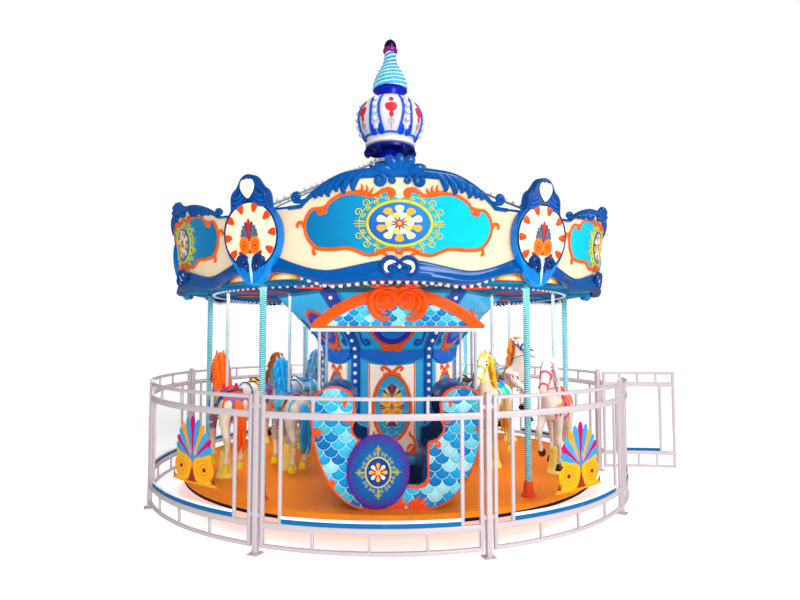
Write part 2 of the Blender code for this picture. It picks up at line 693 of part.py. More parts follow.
def build_stand_and_fence():
    steel = finish("stand_steel", (0.16, 0.18, 0.20), 0.5, 0.6)
    pearl = finish("fence_white", (0.85, 0.84, 0.86), 0.3, 0.2)
    node("base_frame", base_frame(), steel)
    bay, hinge_bay = fence_bay(), fence_bay(lug_side=-1)
    for i in range(8):
        azimuth = GATE_BAY_START + FENCE_BAY * (i + 1)
        node(f"fence_bay_{i + 1}", bay if i else hinge_bay, pearl, turn=azimuth)
    node("gate_post", combined(post_shapes(lug_side=1)), pearl, turn=GATE_BAY_START)
    near_hinge = GATE_BAY_START + panel_angle(POST_SIZE / 2 + POST_TO_PANEL / 2)
    far_hinge = GATE_BAY_START + FENCE_BAY - panel_angle(POST_SIZE / 2 + POST_TO_PANEL / 2)
    for name, hinge, side, opening in (("gate_near", near_hinge, 1, 0.0),
                                       ("gate_far", far_hinge, -1, GATE_OPEN)):
        leaf = gate_leaf()
        leaf.transform(Matrix.Translation((0, HINGE_ORBIT, 0)))
        if side < 0:
            leaf.transform(Matrix.Scale(-1, 4, (1, 0, 0)))
            leaf.flip_normals()
        axis = pivot(f"{name}_hinge", on_circle(HINGE_ORBIT, hinge), hinge)
        node(name, leaf, pearl, axis, turn=opening)


def build_turntable(axis):
    wood = finish("deck_wood", (0.72, 0.30, 0.06), 0.25)
    navy = finish("navy_enamel", (0.02, 0.06, 0.16), 0.25)
    azure = finish("azure_enamel", (0.02, 0.22, 0.70), 0.15)
    sky = finish("sky_enamel", (0.08, 0.50, 0.80), 0.25)
    ivory = finish("ivory_enamel", (0.88, 0.80, 0.64), 0.3)
    teal = finish("teal_pole", (0.06, 0.55, 0.60), 0.25, 0.2)
    orange = finish("orange_enamel", (0.90, 0.20, 0.03), 0.3)
    white = finish("white_enamel", (0.90, 0.90, 0.92), 0.25)
    node("platform", platform(), wood, axis)
    node("platform_rim", platform_rim(), navy, axis)
    node("column", column(), sky, axis)
    node("column_flare", column_flare(), azure, axis)
    node("ceiling", ceiling(), azure, axis)
    node("roof_frame", roof_frame(), white, axis)
    board, badge = crown_board(), cartouche()
    for i in range(6):
        node(f"crown_board_{i + 1}", board, ivory, axis, turn=60 * i)
        node(f"cartouche_{i + 1}", badge, azure, axis, turn=60 * i + 30)
    pole = platform_pole()
    for i, azimuth in enumerate(POLE_AZIMUTHS):
        node(f"pole_{i + 1}", pole, teal, axis, on_circle(POLE_ORBIT, azimuth), smooth=40)
    front, tub, canopy = chariot_front(), chariot_tub(), chariot_canopy()
    for i, turn in enumerate((0.0, 180.0)):
        node(f"chariot_{i + 1}_front", front, sky, axis, turn=turn)
        node(f"chariot_{i + 1}_tub", tub, navy, axis, turn=turn)
        node(f"chariot_{i + 1}_canopy", canopy, orange, axis, turn=turn)
    node("mast_legs", mast_legs(), azure, axis)
    node("spire_onion", spire_onion(), white, axis, smooth=40)
    node("spire_cone", spire_cone(), sky, axis, smooth=40)
    node("stays", stays(), white, axis)


def build_horses(axis):
    for i, ((orbit, azimuth), (lift, rear_up, colour)) in enumerate(zip(HORSE_PLACES, HORSES)):
        coat = finish(f"coat_{i + 1}", colour, 0.3)
        slide = pivot(f"horse_{i + 1}_slide", on_circle(orbit, azimuth), azimuth + 180, axis)
        node(f"horse_{i + 1}", horse(lift, rear_up), coat, slide)


def build():
    for piece in list(bpy.data.objects):
        bpy.data.objects.remove(piece)
    build_stand_and_fence()
    turning_axis = pivot("turning_axis", turn=REST_TURN)
    build_turntable(turning_axis)
    build_horses(turning_axis)


build()
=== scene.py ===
import bpy
from math import asin, atan, atan2, cos, degrees, hypot, pi, radians, sin, sqrt
from mathutils import Matrix, Vector


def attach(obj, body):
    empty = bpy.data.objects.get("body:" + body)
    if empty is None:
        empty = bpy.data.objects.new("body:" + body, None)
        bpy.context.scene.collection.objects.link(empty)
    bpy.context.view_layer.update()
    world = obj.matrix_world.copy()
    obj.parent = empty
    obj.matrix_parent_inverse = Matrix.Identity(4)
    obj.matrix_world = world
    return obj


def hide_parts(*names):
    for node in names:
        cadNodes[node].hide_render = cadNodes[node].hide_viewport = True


# A fairground carousel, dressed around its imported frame. Metres, +Z up.
# Azimuths are in degrees from -Y, the side that faces the camera, towards +X.

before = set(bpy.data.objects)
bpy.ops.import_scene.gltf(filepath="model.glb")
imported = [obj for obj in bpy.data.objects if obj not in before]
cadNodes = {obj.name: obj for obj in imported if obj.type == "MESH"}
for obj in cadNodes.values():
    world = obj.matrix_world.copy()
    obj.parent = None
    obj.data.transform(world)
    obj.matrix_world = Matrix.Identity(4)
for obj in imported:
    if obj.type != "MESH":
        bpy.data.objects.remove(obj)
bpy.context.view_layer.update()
restTurn = 1.8             # degrees that the platform is turned at rest
sixth = [60 * i + restTurn for i in range(6)]
nearly = 0.00002           # points closer than this are one point
print("frame loaded:", len(cadNodes), "nodes")


# Working helpers

def deselectAll():
    if bpy.context.object and bpy.context.object.mode != "OBJECT":
        bpy.ops.object.mode_set(mode="OBJECT")
    bpy.ops.object.select_all(action="DESELECT")


def pick(*pieces):
    deselectAll()
    for piece in pieces:
        piece.select_set(True)
    bpy.context.view_layer.objects.active = pieces[-1]


def named(name):           # the object that an operator has just made
    piece = bpy.context.object
    piece.name = piece.data.name = name
    return piece


def settle(piece):         # the place goes into the mesh
    pick(piece)
    bpy.ops.object.transform_apply(location=True, rotation=True, scale=True)
    return piece


def joinAll(name, pieces):
    pick(*pieces)
    if len(pieces) > 1:
        bpy.ops.object.join()
    return named(name)


def outward(piece, merge=nearly, filled=False):
    # merges points that lie together, fills open ends if asked to, and turns every face outwards
    pick(piece)
    bpy.ops.object.mode_set(mode="EDIT")
    bpy.ops.mesh.select_all(action="SELECT")
    bpy.ops.mesh.remove_doubles(threshold=merge)
    if filled:
        bpy.ops.mesh.select_all(action="DESELECT")
        bpy.ops.mesh.select_non_manifold(extend=False)
        bpy.ops.mesh.fill_holes(sides=0)
        bpy.ops.mesh.select_all(action="SELECT")
    bpy.ops.mesh.normals_make_consistent(inside=False)
    bpy.ops.object.mode_set(mode="OBJECT")
    return piece


def smoothed(piece, angle=35):
    pick(piece)
    bpy.ops.object.shade_smooth_by_angle(angle=radians(angle))
    return piece


def applied(piece, kind, **settings):
    step = piece.modifiers.new(kind.title(), kind)
    for name, value in settings.items():
        setattr(step, name, value)
    pick(piece)
    bpy.ops.object.modifier_apply(modifier=step.name)
    return piece


def dressed(piece, material, body="turntable", slot=None, replaces=()):
    piece.data.materials.clear()
    piece.data.materials.append(material)
    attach(piece, body)
    if replaces:
        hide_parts(*replaces)
    return piece


def onCircle(radius, azimuth, z=0.0):
    return Vector((radius * sin(radians(azimuth)), -radius * cos(radians(azimuth)), z))


def turnedBy(azimuth):
    return Matrix.Rotation(radians(azimuth), 4, "Z")


def smoothLine(points, steps=6, closed=False):     # a curve through all the points
    count = len(points)
    line = []
    for i in range(count if closed else count - 1):
        if closed:
            four = [points[(i + k - 1) % count] for k in range(4)]
        else:
            four = [points[min(max(i + k - 1, 0), count - 1)] for k in range(4)]
        for j in range(steps):
            t = j / steps
            line.append(tuple(
                0.5 * (2 * b + (c - a) * t + (2 * a - 5 * b + 4 * c - d) * t * t + (3 * b - a - 3 * c + d) * t ** 3)
                for a, b, c, d in zip(*four)))
    if not closed:
        line.append(tuple(points[-1]))
    return line


def between(table, x):     # straight between the (x, value) rows of a table
    if x <= table[0][0]:
        return table[0][1]
    for (x0, v0), (x1, v1) in zip(table, table[1:]):
        if x <= x1:
            return v0 + (v1 - v0) * (x - x0) / (x1 - x0)
    return table[-1][1]


def curl(cx, cz, reach, start, turns, end=0.18, steps=16):     # a spiral from outside in, as (x, z)
    line = []
    for i in range(steps + 1):
        share = i / steps
        angle = radians(start) + turns * 2 * pi * share
        size = reach * (1 - share * (1 - end))
        line.append((cx + size * cos(angle), cz + size * sin(angle)))
    return line


def oval(cx, cz, wide, high, steps=32, start=0.0, end=360.0):
    full = abs(end - start) >= 359.9
    count = steps if full else steps + 1
    return [(cx + wide * cos(radians(start + (end - start) * i / steps)),
             cz + high * sin(radians(start + (end - start) * i / steps))) for i in range(count)]


def sheet(name, columns, rows, place, thick=0.0, merge=0.0):
    # a grid whose points are put in place by (u, v), each from 0 to 1
    deselectAll()
    bpy.ops.mesh.primitive_grid_add(x_subdivisions=columns, y_subdivisions=rows, size=1)
    piece = named(name)
    for point in piece.data.vertices:
        point.co = place(point.co.x + 0.5, point.co.y + 0.5)
    if merge:
        outward(piece, merge)
    if thick:
        applied(piece, "SOLIDIFY", thickness=thick, offset=-1)
    return piece


def tube(name, sides, rings, place):
    # a grid rolled up, with closed ends: place(v) gives a ring's centre and its two half axes
    spots = [place(i / rings) for i in range(rings + 1)]

    def roll(u, v):
        centre, across, along = spots[min(round(v * rings), rings)]
        return Vector(centre) + Vector(across) * cos(2 * pi * u) + Vector(along) * sin(2 * pi * u)
    return outward(sheet(name, sides, rings, roll), filled=True)


def lathe(name, profile, sides=24, closed=False):          # (radius, z) pairs spun about Z
    rows = len(profile) if closed else len(profile) - 1

    def roll(u, v):
        radius, z = profile[round(v * rows) % len(profile)]
        return onCircle(radius, 360 * u, z)
    return outward(sheet(name, sides, rows, roll), filled=not closed)


def ball(segments, rings, radius=1):
    deselectAll()
    bpy.ops.mesh.primitive_uv_sphere_add(segments=segments, ring_count=rings, radius=radius)
    return bpy.context.object


def rod(sides, radius, depth, at=(0, 0, 0)):               # a short upright cylinder
    deselectAll()
    bpy.ops.mesh.primitive_cylinder_add(vertices=sides, radius=radius, depth=depth, location=at)
    return settle(bpy.context.object)


def fromCurve(name, lines, closed, **settings):
    # drawn lines made solid by a curve's own settings: each point is (x, y, z, share of the thickness)
    deselectAll()
    bpy.ops.curve.primitive_nurbs_path_add()
    piece = bpy.context.object
    piece.data.splines.clear()
    for setting, value in settings.items():
        setattr(piece.data, setting, value)
    for line in lines:
        spline = piece.data.splines.new("POLY")
        spline.points.add(len(line) - 1)
        spline.use_cyclic_u = closed
        for point, (x, y, z, share) in zip(spline.points, line):
            point.co, point.radius = (x, y, z, 1.0), share
    pick(piece)
    bpy.ops.object.convert(target="MESH")
    return named(name)


def strands(name, lines, thick, sides=3, flat=1.0, closed=False):
    # drawn lines given a round section: each point is (x, z) or (x, z, share of thick); flat squeezes them in depth
    drawn = [[(p[0], 0.0, p[1], p[2] if len(p) > 2 else 1.0) for p in line] for line in lines]
    piece = fromCurve(name, drawn, closed, dimensions="3D", bevel_depth=thick, bevel_resolution=sides,
        use_fill_caps=True)
    if flat != 1.0:
        piece.scale.y = flat
        settle(piece)
    return outward(piece)


def cutouts(name, outlines, depth, bevel=0.0, out=0.0):
    # flat shapes in (x, z), sawn from a board; their backs are at y = -out, their fronts nearer the viewer
    drawn = [[(p[0], p[1], 0.0, 1.0) for p in outline] for outline in outlines]
    piece = fromCurve(name, drawn, True, dimensions="2D", fill_mode="BOTH", extrude=depth / 2 - bevel,
        bevel_depth=bevel, bevel_resolution=1)
    piece.rotation_euler.x = radians(90)
    piece.location.y = -out - depth / 2
    return outward(settle(piece))


def fromPoints(name, points, faces, colours):
    mesh = bpy.data.meshes.new(name)
    mesh.from_pydata(points, [], faces)
    if colours:
        for spot, colour in zip(mesh.color_attributes.new("paint", "FLOAT_COLOR", "POINT").data, colours):
            spot.color = colour
    piece = bpy.data.objects.new(name, mesh)
    bpy.context.scene.collection.objects.link(piece)
    return piece


def scattered(name, model, places):                        # one model copied to many places, with its map and paint
    points, faces, mapped, colours = [], [], [], []
    base = [v.co.copy() for v in model.data.vertices]
    polygons = [tuple(p.vertices) for p in model.data.polygons]
    if "paint" in model.data.color_attributes:
        colours = [tuple(spot.color) for spot in model.data.color_attributes["paint"].data] * len(places)
    if model.data.uv_layers.active:
        mapped = [tuple(spot.uv) for spot in model.data.uv_layers.active.data] * len(places)
    for place in places:
        start = len(points)
        points += [place @ p for p in base]
        faces += [tuple(start + k for k in polygon) for polygon in polygons]
    piece = fromPoints(name, points, faces, colours)
    if mapped:
        for spot, place in zip(piece.data.uv_layers.new(name="UVMap").data, mapped):
            spot.uv = place
    bpy.data.objects.remove(model)
    return smoothed(piece, 50)


def copiedRound(name, piece, azimuths):
    return scattered(name, piece, [turnedBy(azimuth) for azimuth in azimuths])


# Paints and finishes

def tint(code):            # a colour as seen on screen, made linear
    parts = [int(code[i:i + 2], 16) / 255 for i in (1, 3, 5)]
    return tuple(p / 12.92 if p <= 0.04045 else ((p + 0.055) / 1.055) ** 2.4 for p in parts) + (1.0,)


def nodeSet(tree):         # a short way to add a shader node with its settings
    def add(kind, **settings):
        node = tree.nodes.new("ShaderNode" + kind)
        for name, value in settings.items():
            setattr(node, name, value)
        return node
    return add


def setInputs(node, values):
    for label, value in values.items():
        node.inputs[label].default_value = value


def newGroup(name, inputs, outputs):
    group = bpy.data.node_groups.new(name, "ShaderNodeTree")
    for label, kind, value in inputs:
        group.interface.new_socket(name=label, in_out="INPUT", socket_type=kind).default_value = value
    for label, kind in outputs:
        group.interface.new_socket(name=label, in_out="OUTPUT", socket_type=kind)
    return group, group.nodes.new("NodeGroupInput"), group.nodes.new("NodeGroupOutput")


def handPaint():           # brushed paint: an uneven tone, a slightly rippled skin and a wandering gloss
    group, given, result = newGroup(
        "handPaint",
        [("Colour", "NodeSocketColor", (0.8, 0.8, 0.8, 1)), ("Unevenness", "NodeSocketFloat", 0.2),
         ("Patch", "NodeSocketFloat", 6.0), ("Roughness", "NodeSocketFloat", 0.25)],
        [("Colour", "NodeSocketColor"), ("Roughness", "NodeSocketFloat"), ("Height", "NodeSocketFloat")])
    add, link = nodeSet(group), group.links.new
    place = add("TexCoord")
    patches, ripple = add("TexNoise"), add("TexNoise")
    setInputs(patches, {"Detail": 4.0})
    setInputs(ripple, {"Scale": 55.0})
    link(place.outputs["Object"], patches.inputs["Vector"])
    link(place.outputs["Object"], ripple.inputs["Vector"])
    link(given.outputs["Patch"], patches.inputs["Scale"])
    centred = add("Math", operation="SUBTRACT")
    centred.inputs[1].default_value = 0.5
    link(patches.outputs["Fac"], centred.inputs[0])
    amount = add("Math", operation="MULTIPLY_ADD")
    amount.inputs[2].default_value = 1.0
    link(centred.outputs[0], amount.inputs[0])
    link(given.outputs["Unevenness"], amount.inputs[1])
    shade = add("VectorMath", operation="SCALE")
    link(given.outputs["Colour"], shade.inputs[0])
    link(amount.outputs[0], shade.inputs["Scale"])
    gloss = add("Math", operation="MULTIPLY_ADD")
    gloss.inputs[1].default_value = 0.25
    link(centred.outputs[0], gloss.inputs[0])
    link(given.outputs["Roughness"], gloss.inputs[2])
    link(shade.outputs[0], result.inputs["Colour"])
    link(gloss.outputs[0], result.inputs["Roughness"])
    link(ripple.outputs["Fac"], result.inputs["Height"])
    return group


def fishScales():          # rows of round-ended scales on a UV map in metres, with a light edge to each
    group, given, result = newGroup(
        "fishScales",
        [("Width", "NodeSocketFloat", 0.1), ("Edge", "NodeSocketFloat", 0.026)],
        [("Colour", "NodeSocketColor"), ("Edge", "NodeSocketFloat")])
    add, link = nodeSet(group), group.links.new

    def calc(operation, *values):
        node = add("Math", operation=operation)
        for socket, value in zip(node.inputs, values):
            if hasattr(value, "links"):
                link(value, socket)
            else:
                socket.default_value = value
        return node.outputs[0]
    place, split = add("UVMap"), add("SeparateXYZ")
    link(place.outputs["UV"], split.inputs[0])
    across = calc("DIVIDE", split.outputs["X"], given.outputs["Width"])
    down = calc("DIVIDE", split.outputs["Y"], calc("MULTIPLY", given.outputs["Width"], 0.5))
    upperRow = calc("CEIL", down)
    drop = calc("SUBTRACT", upperRow, down)

    def column(row):
        shift = calc("MULTIPLY", calc("FLOORED_MODULO", row, 2.0), 0.5)
        return calc("ADD", across, shift)
    upper = column(upperRow)
    upperMiddle = calc("ADD", calc("FLOOR", upper), 0.5)
    aside = calc("MULTIPLY", calc("SUBTRACT", upper, upperMiddle), 2.0)
    reach = calc("SQRT", calc("ADD", calc("MULTIPLY", aside, aside), calc("MULTIPLY", drop, drop)))
    inside = calc("LESS_THAN", reach, 1.0)
    lowerRow = calc("SUBTRACT", upperRow, 1.0)
    lower = column(lowerRow)
    lowerMiddle = calc("ADD", calc("FLOOR", lower), 0.5)
    name = add("CombineXYZ")
    link(calc("ADD", calc("MULTIPLY", upperMiddle, inside),
              calc("MULTIPLY", lowerMiddle, calc("SUBTRACT", 1.0, inside))), name.inputs[0])
    link(calc("ADD", calc("MULTIPLY", upperRow, inside),
              calc("MULTIPLY", lowerRow, calc("SUBTRACT", 1.0, inside))), name.inputs[1])
    chance = add("TexWhiteNoise", noise_dimensions="2D")
    link(name.outputs[0], chance.inputs["Vector"])
    palette = add("ValToRGB")
    palette.color_ramp.interpolation = "CONSTANT"
    colours = ("#007CBC", "#0C9CD2", "#70C8DA", "#008CCC", "#3CB0C4", "#0070B0", "#2CB4DC", "#9CD6DE")
    bar = palette.color_ramp
    while len(bar.elements) < len(colours):
        bar.elements.new(0.5)
    for i, code in enumerate(colours):
        bar.elements[i].position = i / len(colours)
        bar.elements[i].color = tint(code)
    link(chance.outputs["Value"], palette.inputs[0])
    glow = calc("ADD", 0.88, calc("MULTIPLY", calc("SUBTRACT", 1.0, calc("MODULO", reach, 1.0)), 0.3))
    shade = add("VectorMath", operation="SCALE")
    link(palette.outputs["Color"], shade.inputs[0])
    link(glow, shade.inputs["Scale"])
    rim = calc("LESS_THAN", calc("ABSOLUTE", calc("SUBTRACT", reach, 1.0)), given.outputs["Edge"])
    mix = add("MixRGB")
    mix.inputs[2].default_value = tint("#D6F4FA")
    link(rim, mix.inputs[0])
    link(shade.outputs[0], mix.inputs[1])
    link(mix.outputs[0], result.inputs["Colour"])
    link(rim, result.inputs["Edge"])
    return group


handPaintTree = handPaint()
fishScalesTree = fishScales()


def paint(name, code, roughness=0.25, uneven=0.25, patch=6.0, coat=0.12, metallic=0.0, ripple=0.15, source=None,
          glow=0.0, shine=0.22):
    # source gives the colour instead of code: "paint" is the attribute, a number is the width of the fish scales
    material = bpy.data.materials.new(name)
    material.use_nodes = True
    tree = material.node_tree
    add, link = nodeSet(tree), tree.links.new
    shader = tree.nodes["Principled BSDF"]
    setInputs(shader, {"Metallic": metallic, "Coat Weight": coat, "Coat Roughness": 0.08,
        "Specular IOR Level": shine})
    skin = add("Group", node_tree=handPaintTree)
    setInputs(skin, {"Colour": tint(code), "Unevenness": uneven, "Patch": patch, "Roughness": roughness})
    if source == "paint":
        given = add("Attribute", attribute_name="paint")
        link(given.outputs["Color"], skin.inputs["Colour"])
    elif source:
        given = add("Group", node_tree=fishScalesTree)
        setInputs(given, {"Width": source})
        link(given.outputs["Colour"], skin.inputs["Colour"])
    bump = add("Bump")
    setInputs(bump, {"Strength": ripple, "Distance": 0.002})
    link(skin.outputs["Height"], bump.inputs["Height"])
    link(skin.outputs["Colour"], shader.inputs["Base Color"])
    link(skin.outputs["Roughness"], shader.inputs["Roughness"])
    link(bump.outputs["Normal"], shader.inputs["Normal"])
    if glow:
        setInputs(shader, {"Emission Color": tint(code), "Emission Strength": glow})
    material.diffuse_color = tint(code)
    return material


boardIvory = paint("boardIvory", "#EAD2B0", 0.34, 0.16, 3.0)
trimAzure = paint("trimAzure", "#004E96", 0.14, 0.95, 3.0, coat=0.45)
scrollOrange = paint("scrollOrange", "#EA5A06", 0.28, 0.55, 16.0)
filigreeGold = paint("filigreeGold", "#D6D23E", 0.3, 0.3, 20.0, metallic=0.2)
linerNavy = paint("linerNavy", "#08254E", 0.6, 0.3, coat=0.0, shine=0.05)
soffitBlue = paint("soffitBlue", "#0E6EA8", 0.6, 0.6, 4.0, coat=0.0, shine=0.05)
mattePaint = paint("mattePaint", "#FFFFFF", 0.7, 0.35, 7.0, source="paint", coat=0.0, shine=0.04)
lampClear = paint("lampClear", "#E4E6EC", 0.06, 0.05, glow=0.04, coat=0.8)
lampRed = paint("lampRed", "#F04408", 0.25, 0.2)
lampWarm = paint("lampWarm", "#F4E8BC", 0.15, 0.1, glow=0.04, coat=0.6)
fairPaint = paint("fairPaint", "#FFFFFF", 0.25, 0.15, source="paint")
print("paints mixed")


def proud(piece, out):     # moved towards the viewer of a flat drawing
    for point in piece.data.vertices:
        point.co.y -= out
    return piece


def blend(codes, share):   # a colour from a row of colours, by a share from 0 to 1
    place = min(max(share, 0.0), 0.9999) * (len(codes) - 1)
    first, second = tint(codes[int(place)]), tint(codes[int(place) + 1])
    return tuple(a + (b - a) * (place % 1.0) for a, b in zip(first, second))


def shaded(piece, colourAt):                               # each point in the colour that its place gives
    layer = piece.data.color_attributes.new("paint", "FLOAT_COLOR", "POINT")
    for point, spot in zip(piece.data.vertices, layer.data):
        spot.color = colourAt(point.co)
    return piece


def painted(piece, code):  # the whole piece in one colour, for joining with others
    colour = tint(code)
    return shaded(piece, lambda spot: colour)


def sawn(name, outline, depth, out, code, bevel=0.0):
    return painted(cutouts(name, [outline], depth, bevel, out), code)


def carved(name, lines, thick, out, code, **section):
    return painted(proud(strands(name, lines, thick, **section), out), code)


def drop(x, z, lean, long, wide):                          # a feather: a drop shape whose point is at (x, z)
    shape = [(0, 0), (0.1 * wide, 0.25 * long), (0.42 * wide, 0.72 * long), (0.36 * wide, 0.92 * long), (0, long)]
    shape = shape + [(-a, b) for a, b in reversed(shape[1:-1])]
    turn = radians(lean)
    return smoothLine([(x + a * cos(turn) + b * sin(turn), z - a * sin(turn) + b * cos(turn)) for a, b in shape], 3,
        True)


# Camera, light and floor

cameraPlace = {"at": (0.0, -6.46, 1.55), "up": 3.25, "right": 0.97, "lens": 26.53}
bpy.ops.object.camera_add(location=cameraPlace["at"],
                          rotation=(radians(90 + cameraPlace["up"]), 0, -radians(cameraPlace["right"])))
camera = bpy.context.object
camera.data.lens = cameraPlace["lens"]
camera.data.sensor_width = 36.0
camera.data.clip_end = 200.0
bpy.context.scene.camera = camera
bpy.context.scene.view_settings.view_transform = "Standard"

deselectAll()
bpy.ops.mesh.primitive_plane_add(size=90)
studioFloor = named("studioFloor")
studioFloor.data.materials.append(paint("studioFloorPaint", "#FFFFFF", 0.7, 0.02, coat=0.0, ripple=0.0, glow=0.44))
studioFloor.visible_glossy = False

studio = {"wallSeen": 1.0, "wallLight": 0.46, "wallMirrored": 0.12, "sun": 1.25, "sunAt": (5.0, -8.0, 5.2),
    "sunSoft": 25}
# the wall looks white to the camera, lights less than it looks, and is mirrored less still
sky = bpy.data.worlds.new("studioSky")
bpy.context.scene.world = sky
sky.use_nodes = True
addToSky, linkInSky = nodeSet(sky.node_tree), sky.node_tree.links.new
wallSeen, wallLight = sky.node_tree.nodes["Background"], addToSky("Background")
setInputs(wallSeen, {"Color": (1.0, 1.0, 1.0, 1), "Strength": studio["wallSeen"]})
setInputs(wallLight, {"Color": (1.0, 1.0, 1.0, 1)})
wallRay, wallMix, wallDim = addToSky("LightPath"), addToSky("MixShader"), addToSky("Math", operation="MULTIPLY_ADD")
setInputs(wallDim, {1: studio["wallMirrored"] - studio["wallLight"], 2: studio["wallLight"]})
linkInSky(wallRay.outputs["Is Glossy Ray"], wallDim.inputs[0])
linkInSky(wallDim.outputs[0], wallLight.inputs["Strength"])
linkInSky(wallRay.outputs["Is Camera Ray"], wallMix.inputs[0])
linkInSky(wallLight.outputs[0], wallMix.inputs[1])
linkInSky(wallSeen.outputs[0], wallMix.inputs[2])
linkInSky(wallMix.outputs[0], sky.node_tree.nodes["World Output"].inputs["Surface"])

softboxes = {
    "frontBox": {"at": (0.8, -9.5, 1.5), "aim": (0, 0, 1.2), "size": 4.0, "power": 300},
    "sideBox": {"at": (7.5, -4.0, 4.5), "aim": (0, 0, 1.6), "size": 4.0, "power": 150},
    "deckWash": {"at": (0, 0, 1.925), "aim": (0, 0, 0), "size": 3.5, "power": 150},
    "backWash": {"at": (0, 1.4, 1.6), "aim": (0, 2.6, 0.6), "size": 0.7, "power": 36},
}
for name, box in softboxes.items():
    deselectAll()
    bpy.ops.object.light_add(type="AREA", location=box["at"])
    lamp = bpy.context.object
    lamp.name = name
    lamp.data.size = box["size"]
    lamp.visible_camera, lamp.visible_glossy = False, name == "sideBox"
    lamp.data.energy = box["power"]
    lamp.rotation_euler = (Vector(box["aim"]) - Vector(box["at"])).to_track_quat("-Z", "Y").to_euler()
deselectAll()
bpy.ops.object.light_add(type="SUN", location=studio["sunAt"])
sun = bpy.context.object
sun.name = "overheadWash"
sun.data.energy = studio["sun"]
sun.data.angle = radians(studio["sunSoft"])
sun.rotation_euler = (-Vector(studio["sunAt"])).to_track_quat("-Z", "Y").to_euler()
print("camera and light ready")


# Crown boards. Their ornament is drawn flat, with x along the board and z up, then bent round the crown

crown = {"lowZ": 1.94, "lowRadius": 2.112, "highZ": 2.7, "highRadius": 2.195, "board": 0.03,
         "arc": 2.24,      # the radius at which x is measured along a board
         "halfLength": 1.17, "volute": 0.775,
         "crestFoot": 2.46, "sideCrest": 0.66}      # the crests of the side boards are lower by this share
crestLine = [(0.0, 2.76), (0.2, 2.752), (0.4, 2.728), (0.55, 2.668), (0.67, 2.59), (0.74, 2.53),
             (0.8, 2.506), (1.2, 2.5)]
hemLine = [(0.0, 1.948), (0.2, 1.945), (0.36, 1.931), (0.5, 1.918), (0.61, 1.927), (0.74, 1.966), (0.86, 1.998),
           (0.98, 2.016), (1.2, 2.024)]
hemTopLine = [(0.0, 2.094), (0.15, 2.087), (0.32, 2.056), (0.46, 2.03), (0.57, 2.02), (0.7, 2.038), (0.84, 2.08),
              (0.95, 2.12), (1.05, 2.15), (1.2, 2.165)]


def crownRadius(z):
    share = (z - crown["lowZ"]) / (crown["highZ"] - crown["lowZ"])
    return crown["lowRadius"] + share * (crown["highRadius"] - crown["lowRadius"])


def onCrown(x, z, out=0.0):
    radius = crownRadius(z) + crown["board"] + out
    turn = x / crown["arc"]
    return Vector((radius * sin(turn), -radius * cos(turn), z))


def bentRound(piece):      # the flat drawing's depth becomes height above the board
    for point in piece.data.vertices:
        point.co = onCrown(point.co.x, point.co.z, -point.co.y)
    return piece


def crossCut(piece, low, high, step, axis=0):              # new edges across a flat shape, so that it can bend
    pick(piece)
    bpy.ops.object.mode_set(mode="EDIT")
    place = low
    while place <= high:
        bpy.ops.mesh.select_all(action="SELECT")
        bpy.ops.mesh.bisect(plane_co=[place if i == axis else 0 for i in range(3)],
                            plane_no=[1 if i == axis else 0 for i in range(3)])
        place += step
    bpy.ops.object.mode_set(mode="OBJECT")
    return piece


crestSoft, hemSoft, hemTopSoft = smoothLine(crestLine), smoothLine(hemLine), smoothLine(hemTopLine)


def sideBoardsLower(piece):                                # every second board has a lower crest
    for point in piece.data.vertices:
        place = (degrees(atan2(point.co.x, -point.co.y)) - restTurn) / 60
        if round(place) % 2 and point.co.z > crown["crestFoot"]:
            point.co.z = crown["crestFoot"] + (point.co.z - crown["crestFoot"]) * crown["sideCrest"]
    return piece


def crownBoards():
    half = crown["halfLength"]

    def place(u, v):
        x = half * (2 * u - 1)
        low, high = between(hemSoft, abs(x)) + 0.01, between(crestSoft, abs(x)) - 0.004
        return onCrown(x, low + (high - low) * v)
    board = sheet("crownBoard", 56, 10, place, thick=crown["board"] - 0.002)
    return copiedRound("crownBoards", outward(board), sixth)


def crownLiner():
    half = crown["halfLength"]

    def place(u, v):
        x = half * (1 - 2 * u)
        low, high = between(hemSoft, abs(x)) + 0.015, between(crestSoft, abs(x)) - 0.01
        return onCrown(x, low + (high - low) * v, -crown["board"] - 0.001)
    liner = sheet("crownLiner", 40, 4, place, thick=0.003)
    return copiedRound("crownLiner", outward(liner), sixth)


